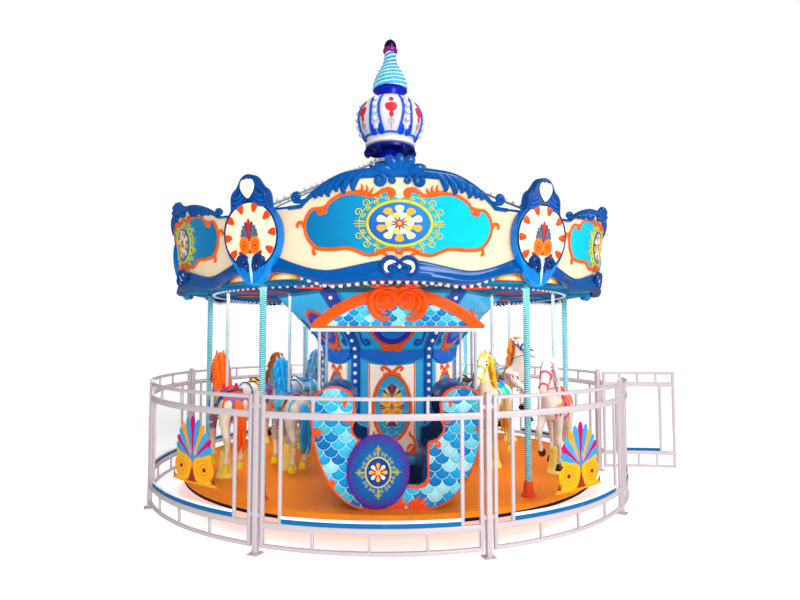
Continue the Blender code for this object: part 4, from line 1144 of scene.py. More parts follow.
def spireCone():           # ribs that wind up the cone in white, cyan and blue
    reaches = smoothLine([(4.262, 0.19), (4.3, 0.188), (4.379, 0.17), (4.45, 0.14), (4.51, 0.108), (4.57, 0.08),
                         (4.63, 0.067), (4.696, 0.062)])
    high = spire["coneTop"] - spire["cone"]

    def roll(u, v):
        z = spire["cone"] + 0.0005 + high * v
        wave = cos(spire["starts"] * (2 * pi * u - radians(spire["twist"]) * v))
        reach = between(reaches, z) * (1 + 0.05 * wave)
        return onCircle(reach, 360 * u, z)
    cone = sheet("spireCone", 72, 84, roll, merge=nearly)

    def stripe(spot):
        share = (spot.z - spire["cone"]) / high
        wave = spire["starts"] * (atan2(spot.x, -spot.y) - radians(spire["twist"]) * share) / (2 * pi) % 1.0
        if wave < 0.16 or wave > 0.88:
            return tint("#E6F6FF")
        if wave > 0.6:
            return tint("#0C6CC0" if share < 0.6 else "#1450B0")
        return tint("#38CCE4" if share < 0.5 else "#4CB4E4")
    return shaded(cone, stripe)


def spireCap():
    collar = painted(lathe("spireCollar", [(0.03, 4.69), (0.07, 4.692), (0.081, 4.705), (0.081, 4.732),
        (0.068, 4.75), (0.03, 4.75)], sides=24), "#8A1C84")
    cap = painted(lathe("spireCap", [(0.03, 4.748), (0.068, 4.75), (0.07, 4.775), (0.06, 4.805), (0.04, 4.832),
        (0.02, 4.844), (0.01, 4.851), (0.004, 4.857)], sides=24), "#120A2E")
    return smoothed(joinAll("spireCap", [collar, cap]))


def ends(bar, azimuth):
    (low, lowZ), (high, highZ) = bar["foot"], bar["head"]
    return onCircle(low, azimuth, lowZ), onCircle(high, azimuth, highZ)


def mastLegs():
    legs = []
    for azimuth in badgeAzimuths:
        foot, head = ends(mast, azimuth)

        def along(v):
            centre = foot.lerp(head, v)
            wide = mast["wide"] - mast["narrower"] * v
            return centre, onCircle(1, azimuth + 90) * wide, onCircle(1, azimuth) * (wide * 0.8)
        legs.append(tube("mastLeg", 12, 6, along))
    hoop = lathe("mastHoop", [(0.67, 2.0312), (0.77, 2.0312), (0.775, 2.045), (0.77, 2.062), (0.67, 2.062),
        (0.665, 2.045)], sides=60, closed=True)
    return smoothed(joinAll("mastLegs", legs + [hoop]))


def stayRods():
    rods = []
    for azimuth in badgeAzimuths:
        foot, head = ends(stays, azimuth)

        def along(v):
            return foot.lerp(head, v), onCircle(1, azimuth + 90) * stays["rod"], Vector((0, 0, stays["rod"]))
        rods.append(tube("stayRod", 8, 2, along))
        cup = applied(rod(12, 0.022, 0.034), "BEVEL", width=0.003, segments=2)
        cup.data.transform(Matrix.Translation(onCircle(stays["foot"][0], azimuth, stays["foot"][1] - 0.0025)))
        rods.append(cup)
    hoop = lathe("stayHoop", [(0.207, 3.402), (0.233, 3.402), (0.236, 3.42), (0.233, 3.438), (0.207, 3.438)],
        sides=36, closed=True)
    return smoothed(joinAll("stayRods", rods + [hoop]))


def stayLamps():
    places = []
    for azimuth in badgeAzimuths:
        foot, head = ends(stays, azimuth)
        for k in range(stays["lamps"]):
            places.append(Matrix.Translation(foot.lerp(head, (k + 0.7) / (stays["lamps"] + 0.5))
                + Vector((0, 0, 0.021))))
    return scattered("stayLamps", lampModel(stays["bulb"]), places)


def sunk(piece):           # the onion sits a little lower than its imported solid
    piece.data.transform(Matrix.Translation((0, 0, -spire["sunk"])))
    return piece


dressed(sunk(spireOnion()), spireWhite, slot="white", replaces=["spire_onion"])
dressed(sunk(spirePanels()), fairPaint)
dressed(sunk(spireLamps()), lampClear)
dressed(spireNeck(), fairPaint, slot="azure")
dressed(smoothed(outward(spireCone()), 60), fairPaint, slot="sky", replaces=["spire_cone"])
dressed(spireCap(), fairPaint)
dressed(mastLegs(), spireBlue, slot="azure", replaces=["mast_legs"])
# painted shade: the white stays and their hoop are given a grey
stayShadedWhite = paint("stayShadedWhite", "#A2A4B0", 0.4, 0.2)
dressed(stayRods(), stayShadedWhite, slot="white", replaces=["stays"])
dressed(stayLamps(), lampClear)
print("spire dressed")


# Fence and gate

fence = {"radius": 2.395, "bay": 40.0, "gateStart": 56.7, "post": 0.04, "postTop": 1.14, "depth": 0.026,
         "clear": 0.04, "paneEnd": 0.155, "hingeOrbit": 2.415,
         "openAtRest": 88.0}      # degrees that the far leaf stands open at rest
fenceRails = [(1.088, 1.114), (0.953, 1.0), (0.191, 0.233), (0.052, 0.078)]
fencePearl = paint("fencePearl", "#C6BABE", 0.34, 0.1, 3.0, metallic=0.1, coat=0.2)
paneClear = paint("paneClear", "#3C4A52", 0.04, 0.02, coat=0.0, ripple=0.0)
setInputs(paneClear.node_tree.nodes["Principled BSDF"], {"Alpha": 0.03})


def degreesAlong(length):
    return degrees(length / fence["radius"])


def ringBar(name, section, start, end, steps):             # a (radius, z) section swept round the axis
    rows = len(section)

    def place(u, v):
        radius, z = section[round(v * rows) % rows]
        return onCircle(radius, start + (end - start) * u, z)
    return outward(sheet(name, steps, rows, place), filled=True)


def boxSection(near, far, low, high, edge=0.003):
    return [(near + edge, low), (far - edge, low), (far, low + edge), (far, high - edge), (far - edge, high),
            (near + edge, high), (near, high - edge), (near, low + edge)]


def block(name, low, high, edge=0.003, segments=1):        # a box from corner to corner, with bevelled edges
    deselectAll()
    bpy.ops.mesh.primitive_cube_add(size=1, location=[(a + b) / 2 for a, b in zip(low, high)])
    piece = named(name)
    piece.scale = [b - a for a, b in zip(low, high)]
    return applied(settle(piece), "BEVEL", width=edge, segments=segments)


def turned(piece, azimuth):
    piece.data.transform(turnedBy(azimuth))
    return piece


def fencePanel(start, end, steps):
    # rails, end uprights, inner uprights and the short stubs, from azimuth start to end
    near, far = fence["radius"] - fence["depth"] / 2, fence["radius"] + fence["depth"] / 2
    parts = [ringBar("rail", boxSection(near, far, low, high), start + 0.25, end - 0.25, steps)
        for low, high in fenceRails]
    for azimuth in (start + degreesAlong(0.014), end - degreesAlong(0.014)):
        parts.append(turned(block("endUpright", (-0.0135, -far, 0.05), (0.0135, -near, 1.116)), azimuth))
    for azimuth in (start + degreesAlong(fence["paneEnd"]), end - degreesAlong(fence["paneEnd"])):
        parts.append(turned(block("paneUpright", (-0.013, -far + 0.004, 0.225), (0.013, -near - 0.002, 0.96)),
            azimuth))
    for k in (1, 2, 3):
        azimuth = start + (end - start) * k / 4
        for low, high in ((0.996, 1.092), (0.074, 0.195)):
            parts.append(turned(block("stub", (-0.01, -far + 0.004, low), (0.01, -near - 0.004, high), edge=0.002),
                azimuth))
    return joinAll("fencePanel", parts)


def fencePost():
    half = fence["post"] / 2
    post = block("post", (-half, -fence["radius"] - half, 0.004), (half, -fence["radius"] + half, fence["postTop"]),
        0.004, 2)
    foot = block("footPlate", (-0.045, -fence["radius"] - 0.045, 0.0), (0.045, -fence["radius"] + 0.045, 0.008),
        0.002)
    parts = [post, foot]
    for x in (-0.031, 0.031):
        for y in (-0.031, 0.031):
            parts.append(rod(6, 0.0065, 0.007, (x, -fence["radius"] + y, 0.011)))
    return joinAll("fencePost", parts)


def fenceBracket(start, end, z):
    near, far = fence["radius"] - 0.006, fence["radius"] + 0.006
    return ringBar("bracket", boxSection(near, far, z, z + 0.03, 0.002), start, end, 1)


def paneAndStrip(start, end, steps):
    first, last = start + degreesAlong(fence["paneEnd"] + 0.013), end - degreesAlong(fence["paneEnd"] + 0.013)
    pane = ringBar("pane", boxSection(fence["radius"] - 0.003, fence["radius"] + 0.003, 0.2335, 0.953, 0.001),
        first, last, steps)
    back = fence["radius"] + 0.0035
    azure = painted(ringBar("strip", boxSection(back, back + 0.004, 0.2338, 0.264, 0.001), first, last, steps),
        "#0064A4")
    white = painted(ringBar("line", boxSection(back, back + 0.0035, 0.2645, 0.286, 0.001), first, last, steps),
        "#F6F8FC")
    return pane, joinAll("strip", [azure, white])


def panePalmette():
    # drawn flat about x = 0 at its height, in a fence bay's own frame
    parts = []
    side = [(12.5, 0.318, "#2E94C8", 0.066), (25, 0.3, "#E8980C", 0.066), (38, 0.278, "#3A9CD0", 0.064),
            (51, 0.262, "#BC0068", 0.062), (64, 0.238, "#2E94C8", 0.06), (77, 0.205, "#E8A80C", 0.056)]
    fan = [(-a, b, c, d) for a, b, c, d in reversed(side)] + [(0, 0.335, "#B80068", 0.068)] + side
    for k, (lean, long, code, wide) in enumerate(fan):
        shape = drop(0.0, 0.575, lean, long, wide)
        parts.append(sawn("feather", shape, 0.0012, 0.0046 + 0.0003 * (k % 2), code))
    gem = [(0.0, 0.64), (0.028, 0.6), (0.0, 0.555), (-0.028, 0.6)]
    parts.append(sawn("gem", gem, 0.0012, 0.0056, "#3C86B8"))
    for side in (1, -1):
        body = smoothLine([(0.01, 0.56), (0.06, 0.6), (0.14, 0.606), (0.2, 0.56), (0.205, 0.49), (0.175, 0.445),
                           (0.205, 0.428), (0.222, 0.412), (0.15, 0.408), (0.06, 0.42), (0.02, 0.47)], 4, True)
        parts.append(sawn("scrollBody", bothSides(body, side), 0.0012, 0.005, "#ECA60C"))
        for reach, code in ((0.066, "#E88A12"), (0.04, "#E07A10")):
            ring = oval(side * 0.122, 0.515, reach, reach * 1.05, 24)
            parts.append(carved("scrollRing", [ring], 0.005, 0.006, code, sides=1, closed=True, flat=0.2))
        eye = oval(side * 0.122, 0.515, 0.017, 0.017, 12)
        parts.append(sawn("scrollEye", eye, 0.001, 0.0062, "#7A1F12"))
        spur = [(side * 0.185, 0.418), (side * 0.215, 0.47), (side * 0.222, 0.425)]
        parts.append(sawn("spur", spur, 0.001, 0.0062, "#8A2A14"))
    heart = [(-0.04, 0.412), (0.04, 0.412), (0.0, 0.53)]
    parts.append(sawn("heart", heart, 0.0012, 0.006, "#9C2A16"))
    sill = [(-0.235, 0.398), (0.235, 0.398), (0.235, 0.413), (-0.235, 0.413)]
    parts.append(sawn("sill", sill, 0.0012, 0.0052, "#E49A08"))
    piece = joinAll("panePalmette", parts)
    for point in piece.data.vertices:
        point.co.x *= between([(0.4, 1.25), (0.56, 1.22), (0.66, 1.1), (1.0, 1.08)], point.co.z)
    crossCut(piece, -0.28, 0.28, 0.07)
    for point in piece.data.vertices:
        point.co = onCircle(fence["radius"] - point.co.y, degrees(point.co.x / fence["radius"]), point.co.z)
    return piece


bayStarts = [fence["gateStart"] + fence["bay"] * (i + 1) for i in range(8)]
clearAngle = degreesAlong(fence["clear"])
bayParts = [fencePost(), fencePanel(clearAngle, fence["bay"] - clearAngle, 20)]
for z in (0.26, 1.02):
    bayParts += [fenceBracket(0.3, clearAngle + 0.4, z),
                 fenceBracket(fence["bay"] - clearAngle - 0.4, fence["bay"] - 0.49, z)]
fenceRun = copiedRound("fenceRun", joinAll("fenceBay", bayParts), bayStarts)
lugs = [block("lug", (sign * 0.0225 - 0.0075, -2.4215, z - 0.0083), (sign * 0.0225 + 0.0075, -2.4085, z - 0.0003),
    0.001) for sign in (1, -1) for z in (0.2, 0.96)]
for lug, azimuth in zip(lugs, (fence["gateStart"],) * 2 + (fence["gateStart"] + fence["bay"],) * 2):
    turned(lug, azimuth)
lastPost = turned(fencePost(), fence["gateStart"])
dressed(joinAll("fenceFrame", [fenceRun, lastPost] + lugs), fencePearl, body="base", slot="fence_white",
        replaces=[f"fence_bay_{i + 1}" for i in range(8)] + ["gate_post"])
panePart, stripPart = paneAndStrip(clearAngle, fence["bay"] - clearAngle, 20)
dressed(copiedRound("fencePanes", panePart, bayStarts), paneClear, body="base")
dressed(copiedRound("fenceStrips", stripPart, bayStarts), fairPaint, body="base")
palmettePlaces = [(-39.0, 0.012), (37.6, -0.036), (156.7, 0.0), (236.7, 0.0)]
dressed(scattered("fencePalmettes", panePalmette(), [Matrix.Translation((0, 0, lift)) @ turnedBy(azimuth)
    for azimuth, lift in palmettePlaces]), fairPaint, body="base")


def gateLeaf(name, place):
    start = degreesAlong(0.01)
    end = fence["bay"] / 2 - degreesAlong(0.038)
    parts = [fencePanel(start, end, 10)]
    for z in (0.2, 0.96):
        parts += [rod(12, 0.0062, 0.06, (0, -fence["hingeOrbit"], z + 0.03)),
                  block("hingeArm", (0.001, -fence["hingeOrbit"] - 0.001, z + 0.01),
                           (0.026, -fence["hingeOrbit"] + 0.01, z + 0.05), 0.001)]
    leaf = joinAll(name, parts)
    pane, strip = paneAndStrip(start, end, 8)
    for piece, material, slotName, stoodFor in ((leaf, fencePearl, "fence_white", [name]),
            (pane, paneClear, None, ()), (strip, fairPaint, None, ())):
        piece.data.transform(place)
        if place.determinant() < 0:
            outward(piece)
        piece.name = piece.data.name = name if piece == leaf else name + piece.name.title()
        dressed(smoothed(piece, 40), material, body=name, slot=slotName, replaces=stoodFor)


nearHinge = fence["gateStart"] + degreesAlong(0.03)
farHinge = fence["gateStart"] + fence["bay"] - degreesAlong(0.03)
gateLeaf("gate_near", turnedBy(nearHinge))
gateLeaf("gate_far", Matrix.Translation(onCircle(fence["hingeOrbit"], farHinge))
         @ turnedBy(farHinge + fence["openAtRest"]) @ Matrix.Scale(-1, 4, (1, 0, 0))
         @ Matrix.Translation((0, fence["hingeOrbit"], 0)))
print("fence and gate dressed")


# Platform, its rim, the pedestals and the poles

deck = {"top": 0.223, "radius": 2.06, "low": 0.163}
horseSpots = [(orbit, azimuth) for azimuth in (-62.0, -120.0, 120.0, 62.0) for orbit in (1.76, 1.15)]
poleSpots = [(1.94, azimuth) for azimuth in (-34.0, 34.0, 90.0, 146.0, -146.0, -90.0)]
deckVarnish = paint("deckVarnish", "#F4800C", 0.32, 0.6, 1.3, coat=0.0, ripple=0.05, shine=0.1)
pedestalCream = paint("pedestalCream", "#FFEC70", 0.35, 0.35)
polePearl = paint("polePearl", "#CFE3E6", 0.16, 0.1, metallic=0.45, coat=0.8)
poleTeal = paint("poleTeal", "#FFFFFF", 0.2, 0.1, source="paint", coat=0.3)
footRed = paint("footRed", "#EE4A08", 0.25, 0.3)


def twisted(name, radius, low, high, spacing, starts, sides, depth):
    # a pole with ridges that wind round it: spacing is from ridge to ridge
    rings = round((high - low) / spacing * 4)

    def roll(u, v):
        z = low + (high - low) * v
        reach = radius - depth * (0.5 + 0.5 * cos(2 * pi * (starts * u - (z - low) / spacing)))
        return onCircle(reach, 360 * u, z)
    return sheet(name, sides, rings, roll, merge=nearly)


def deckDisc():
    return smoothed(lathe("deckFloor", [(0.3, 0.1206), (0.42, 0.1206), (0.42, deck["low"]), (2.055, deck["low"]),
        (deck["radius"], deck["low"] + 0.005), (deck["radius"], deck["top"] - 0.004), (2.056, deck["top"]),
        (0.3, deck["top"])], sides=96, closed=True))


def rimRing():             # varnished down to the fence's white line, dark under it
    ring = smoothed(lathe("rimRing", [(2.0605, 0.155), (2.086, 0.155), (2.09, 0.16), (2.09, 0.182), (2.09, 0.184),
        (2.09, 0.214), (2.087, 0.222), (2.08, 0.228), (2.066, 0.229), (2.0605, 0.226)], sides=120, closed=True))
    return shaded(ring, lambda spot: tint("#F08418" if spot.z > 0.183 else "#0C2038"))


def pedestal():
    def roll(u, v):
        z = 0.2235 + 0.2445 * v
        reach = between([(0, 0.087), (0.05, 0.087), (0.08, 0.083), (0.25, 0.064), (0.3, 0.062), (0.86, 0.049),
            (0.88, 0.052), (0.96, 0.052), (1.0, 0.046)], v)
        rib = 1 + (0.035 * cos(12 * 2 * pi * u) if 0.3 <= v <= 0.86 else 0)
        return onCircle(reach * rib, 360 * u, z)
    return outward(sheet("pedestal", 48, 24, roll), filled=True)


def poleFoot():
    return lathe("poleFoot", [(0.027, 0.2235), (0.062, 0.2235), (0.0625, 0.233), (0.058, 0.24), (0.047, 0.244),
        (0.043, 0.262), (0.045, 0.27), (0.041, 0.276), (0.037, 0.3), (0.039, 0.318), (0.036, 0.332), (0.031, 0.346),
        (0.027, 0.35)], sides=24, closed=True)


def spots(places):
    return [Matrix.Translation(onCircle(orbit, azimuth + restTurn)) for orbit, azimuth in places]


dressed(deckDisc(), deckVarnish, slot="deck_wood", replaces=["platform"])
dressed(rimRing(), mattePaint, slot="navy", replaces=["platform_rim"])
dressed(scattered("pedestals", pedestal(), spots(horseSpots)), pedestalCream, slot="deck_wood")
# painted shade and highlight: dark teal in the grooves of the twist, light on its ridges, a middle tone between
twist = shaded(twisted("pole", 0.0285, 0.224, 1.957, 0.017, 2, 16, 0.003),
    lambda spot: tint("#127C88" if hypot(spot.x, spot.y) < 0.0264 else "#BCEEF2" if hypot(spot.x,
    spot.y) > 0.0278 else "#50B4BE"))
dressed(scattered("platformPoles", twist, spots(poleSpots)), poleTeal,
        slot="teal_pole", replaces=[f"pole_{i + 1}" for i in range(6)])
dressed(scattered("poleFeet", poleFoot(), spots(poleSpots)), footRed, slot="orange")
print("platform dressed")


# Column: six wide faces with painted panels, pilasters with lamps between them, and the spreading head

core = {"apothem": 0.64, "half": 0.31, "foot": 0.2235, "top": 1.38, "headFoot": 1.3805, "ceiling": 1.9575,
        "headApothem": 1.11}
coreSky = paint("coreSky", "#1E9AD6", 0.22, 0.3, 3.0)
pilasterBlue = paint("pilasterBlue", "#0A4CA8", 0.22, 0.3)
panelCream = paint("panelCream", "#F8EEDC", 0.3, 0.1)
headBlue = paint("headBlue", "#2387C4", 0.3, 0.5, 4.0)


def headApothem(z):
    share = min(max((z - core["headFoot"]) / (core["ceiling"] - core["headFoot"]), 0.0), 1.0)
    return core["apothem"] + (core["headApothem"] - core["apothem"]) * share ** 1.2


def coreSolid(name, levels):                               # a twelve-sided skin through (z, apothem) levels
    corners = [turnedBy(60 * i + restTurn) @ Vector((side * core["half"], -core["apothem"], 0))
               for i in range(6) for side in (-1, 1)]
    rows = len(levels) - 1

    def roll(u, v):
        z, apothem = levels[round(v * rows)]
        corner = corners[round(u * 12) % 12]
        return Vector((corner.x * apothem / core["apothem"], corner.y * apothem / core["apothem"], z))
    return outward(sheet(name, 12, rows, roll), filled=True)


def onHead(piece):         # from the flat drawing to the face of the column or its head
    for point in piece.data.vertices:
        point.co.y -= headApothem(point.co.z)
        if point.co.z > core["top"]:
            point.co.x *= headApothem(point.co.z) / core["apothem"]
    return piece


def panelPaint():
    # the painted and carved work of one wide face, from the skirt to the swag
    parts = []

    def flat(code, outline, out, depth=0.004):
        parts.append(sawn("field", outline, depth, out, code))
    cream = [(-0.232, 0.4), (0.232, 0.4), (0.232, 1.262)] + [(x, 1.235 + 0.42 * x * x) for x in
             (0.2, 0.15, 0.1, 0.05, 0.0, -0.05, -0.1, -0.15, -0.2)] + [(-0.232, 1.262)]
    flat("#FAF0DE", cream, -0.002)
    for x in (-0.222, 0.222):
        flat("#EE6A1C", [(x - 0.006, 0.41), (x + 0.006, 0.41), (x + 0.006, 1.26), (x - 0.006, 1.26)], 0.002, 0.003)
    for side in (1, -1):
        flat("#2FA6DA", bothSides([(0.238, 0.4), (0.3, 0.4), (0.3, 1.3), (0.238, 1.28)], side), -0.002)
    swag = [(x, 1.248 + 0.72 * x * x) for x in [0.305 - 0.0305 * k for k in range(21)]]
    swag += [(x, 1.372 + 0.3 * x * x) for x in [-0.305 + 0.0305 * k for k in range(21)]]
    flat("#0660C0", swag, 0.0, 0.014)
    ring = strands("ovalFrame", [oval(0, 0.83, 0.182, 0.322, 48)], 0.017, sides=2, closed=True, flat=0.8)
    parts.append(painted(proud(ring, 0.004), "#E8560F"))
    flat("#2E9ACB", oval(0, 0.83, 0.172, 0.312, 40), 0.001)
    for row in range(7):
        for k in range(-2, 3):
            x, z = (k + 0.5 * (row % 2)) * 0.085, 0.6 + 0.075 * row
            if (x / 0.15) ** 2 + ((z - 0.83) / 0.29) ** 2 < 1:
                arc = [(x + 0.042 * cos(radians(a)), z + 0.042 * sin(radians(a))) for a in range(180, 361, 20)]
                parts.append(carved("scaleArc", [arc], 0.0022, 0.0052, "#A8E0EE", sides=1))
    crownLines = [taper(smoothLine([(0.0, 1.165), (0.03, 1.19), (0.075, 1.225), (0.105, 1.205), (0.08, 1.18)], 4),
        0.9, 0.5, 0.4), taper(smoothLine([(0.0, 1.15), (0.05, 1.155), (0.09, 1.145)], 4), 1.0, 0.4, 0.3),
        taper(smoothLine([(0.205, 0.545), (0.235, 0.47), (0.2, 0.395), (0.17, 0.35)], 4), 0.4, 0.8, 0.9),
        taper(smoothLine([(0.2, 0.47), (0.165, 0.45), (0.15, 0.41)], 4), 0.9, 0.4, 0.4),
        taper(smoothLine([(0.222, 0.53), (0.18, 0.56), (0.175, 0.6)], 4), 0.8, 0.3, 0.3)]
    for side in (1, -1):
        lines = [bothSides(line, side) for line in crownLines]
        parts.append(carved("leafWork", lines, 0.015, 0.004, "#EB5A12", sides=2, flat=0.7))
    return joinAll("panelPaint", parts)


def panelFlower():         # the palmette inside the oval, with its mirror image under it
    colours = {"feathers": ("#9C2B34", "#1C2F6A", "#E3B41E", "#2A3C8C"), "scroll": "#F2AC1C", "line": "#E2620E",
        "eye": "#B4300E"}
    up = palmette("panelFlower", 0.23, colours, depth=0.003)
    low = palmette("panelFlowerLow", 0.2, colours, depth=0.003)
    for point in up.data.vertices:
        point.co.z += 0.832
    for point in low.data.vertices:
        point.co.z = 0.828 - point.co.z
    outward(low)
    return proud(joinAll("panelFlower", [up, low]), 0.006)


def headWork():            # the sky-blue field, medallion and carving on the column's head
    parts = []
    field = [(-0.29, 1.395), (0.29, 1.395), (0.29, 1.93), (-0.29, 1.93)]
    work = [("#22B0E8", field, -0.002, 0.004), ("#E5540E", oval(0, 1.6, 0.19, 0.185, 36), 0.002, 0.014),
        ("#2434B0", oval(0, 1.6, 0.16, 0.155, 32), 0.01, 0.009), ("#1E7AD2", oval(0, 1.6, 0.11, 0.106, 28), 0.014,
        0.007)]
    for code, outline, out, depth in work:
        parts.append(sawn("headField", outline, depth, out, code))
    lines = []
    for side in (1, -1):
        leaf = [taper(smoothLine([(0.0, 1.425), (0.05, 1.412), (0.085, 1.43), (0.12, 1.455)], 4), 0.9, 0.4, 0.6),
                taper(smoothLine([(0.0, 1.405), (0.06, 1.385), (0.11, 1.4)], 4), 0.9, 0.3, 0.4)]
        lines += [bothSides(line, side) for line in leaf]
    parts.append(carved("headLeaf", lines, 0.016, 0.008, "#EB5A12", sides=2, flat=0.7))
    curls = []
    for side in (1, -1):
        swirl = [(0.275, 1.7), (0.268, 1.6), (0.272, 1.5)] + curl(0.235, 1.47, 0.036, 10, -1.0, 0.3)
        curls.append(bothSides(taper(smoothLine(swirl, 2), 0.6, 0.8, 0.4), side))
    parts.append(carved("headCurl", curls, 0.013, 0.008, "#0E4EB4", sides=2, flat=0.7))
    return crossCut(joinAll("headWork", parts), 1.43, 1.86, 0.06, axis=2)


coreCorners = Vector((core["half"], -core["apothem"], 0)), turnedBy(60) @ Vector((-core["half"], -core["apothem"],
    0))
pilaster = {"middle": (coreCorners[0] + coreCorners[1]) / 2, "half": (coreCorners[1] - coreCorners[0]).length / 2,
            "lamps": 19, "firstLamp": 0.44, "lampStep": 0.08, "bulb": 0.021, "low": 0.4, "high": 1.945}
pilaster["azimuth"] = degrees(atan2(pilaster["middle"].x, -pilaster["middle"].y))


def pilasterLamps():
    places = []
    for z in [pilaster["firstLamp"] + pilaster["lampStep"] * k for k in range(pilaster["lamps"])]:
        reach = pilaster["middle"].length * headApothem(z) / core["apothem"] + 0.012
        for i in range(6):
            places.append(Matrix.Translation(onCircle(reach, pilaster["azimuth"] + 60 * i + restTurn, z)))
    return scattered("pilasterLamps", lampModel(pilaster["bulb"]), places)


def pilasters():
    azimuth = pilaster["azimuth"]

    def place(u, v):
        z = pilaster["low"] + (pilaster["high"] - pilaster["low"]) * v
        scale = headApothem(z) / core["apothem"]
        across = between([(0.0, -1.0), (0.2, -0.92), (0.5, 0.0), (0.8, 0.92), (1.0, 1.0)], u) * pilaster["half"]
        out = 0.001 if u < 0.1 or u > 0.9 else 0.009
        return onCircle(pilaster["middle"].length * scale + out, azimuth, z) + onCircle(1, azimuth + 90) * (
            across * scale)
    piece = sheet("pilaster", 4, 14, place, merge=nearly)
    for polygon in piece.data.polygons:
        if polygon.normal.dot(onCircle(1, azimuth)) < 0:
            polygon.flip()
    return copiedRound("pilasters", piece, sixth)


shaft = coreSolid("columnSkin", [(core["foot"], 0.664), (0.333, 0.664), (0.345, 0.655), (0.353, 0.6395),
    (1.3798, 0.6395)])
headLevels = [core["headFoot"] + (core["ceiling"] - 0.0005 - core["headFoot"]) * k / 10 for k in range(11)]
head = coreSolid("columnHead", [(z, headApothem(z) - 0.0005) for z in headLevels])
dressed(shaft, coreSky, slot="sky", replaces=["column"])
dressed(head, headBlue, slot="azure", replaces=["column_flare"])
dressed(pilasters(), pilasterBlue, slot="navy")
dressed(pilasterLamps(), lampClear)
dressed(copiedRound("columnPanels", onHead(joinAll("columnPanel", [panelPaint(), panelFlower()])), sixth),
    fairPaint)
dressed(copiedRound("columnHeadWork", onHead(headWork()), sixth), fairPaint)
print("column dressed")


# Chariots: two boats with fish-scale sides, a round boss, an arched canopy and twisted posts

chariot = {"near": 1.94, "far": 1.14, "side": 0.04, "low": 0.2236, "canopyLow": 1.57, "canopyTop": 1.893,
           "canopyHalf": 0.662, "postX": 0.6, "boss": (-0.15, 0.513), "bossWide": 0.233, "bossHigh": 0.272,
           "bossFace": 1.969, "bossDome": 0.012}
chariotScales = paint("chariotScales", "#2F9FD0", 0.25, 0.25, 8.0, source=0.112)
canopyScales = paint("canopyScales", "#2F9FD0", 0.25, 0.25, 8.0, source=0.084)
pipingOrange = paint("pipingOrange", "#F24E00", 0.28, 0.35, 12.0)
seatNavy = paint("seatNavy", "#0A2C74", 0.3, 0.25)
canopyOrange = paint("canopyOrange", "#F05008", 0.28, 0.3, 8.0)
postSilver = paint("postSilver", "#DDE4EA", 0.18, 0.1, metallic=0.5, coat=0.8)
chariotTurns = [restTurn, restTurn + 180]


def flatMap(piece):        # a UV map in metres for a flat drawing
    layer = piece.data.uv_layers.active or piece.data.uv_layers.new(name="UVMap")
    for polygon in piece.data.polygons:
        for loop in polygon.loop_indices:
            point = piece.data.vertices[piece.data.loops[loop].vertex_index].co
            layer.data[loop].uv = (point.x, point.z)
    return piece


def sideOutline(shrink=0.0):
    low = chariot["low"] + shrink
    half = [(0.0, low)] + oval(0.215, 0.95, 0.442 - shrink, 0.95 - low, 14, -90, 0)
    half += oval(0.49, 0.985, 0.167 - shrink, 0.162 - shrink, 14, 0, 172)
    half += smoothLine([(0.326 + shrink, 0.96), (0.322 + shrink, 0.9), (0.35, 0.845), (0.343, 0.795), (0.3, 0.745),
                        (0.245, 0.725), (0.228 + shrink, 0.69), (0.226 + shrink, 0.48)], 3)
    half += oval(0.144, 0.48, 0.082 + shrink, 0.08 + shrink, 6, 0, -90) + [(0.0, 0.4 - shrink)]
    tidy = [half[0]]
    for spot in half[1:]:
        if hypot(spot[0] - tidy[-1][0], spot[1] - tidy[-1][1]) > 0.004:
            tidy.append(spot)
    return tidy + [(-x, z) for x, z in reversed(tidy[1:-1])]


def chariotBoard():
    board = cutouts("chariotBoard", [sideOutline()], chariot["side"], bevel=0.004,
        out=chariot["near"] - chariot["side"])
    return copiedRound("chariotBoards", flatMap(board), chariotTurns)


def leaf(x, z, lean, long, wide):                          # a carved leaf with five pointed tips, as tapered strands
    turn = radians(lean)

    def at(a, b):
        return (x + a * cos(turn) + b * sin(turn), z - a * sin(turn) + b * cos(turn))
    lines = []
    for side, reach in ((0.0, 1.0), (0.42, 0.86), (-0.42, 0.86), (0.85, 0.6), (-0.85, 0.6)):
        lines.append(taper(smoothLine([at(0, 0), at(side * wide * 0.3, reach * long * 0.45),
            at(side * wide * 0.8, reach * long * 0.8), at(side * wide * 0.95, reach * long)], 4), 0.75, 0.1, 0.35))
    return lines


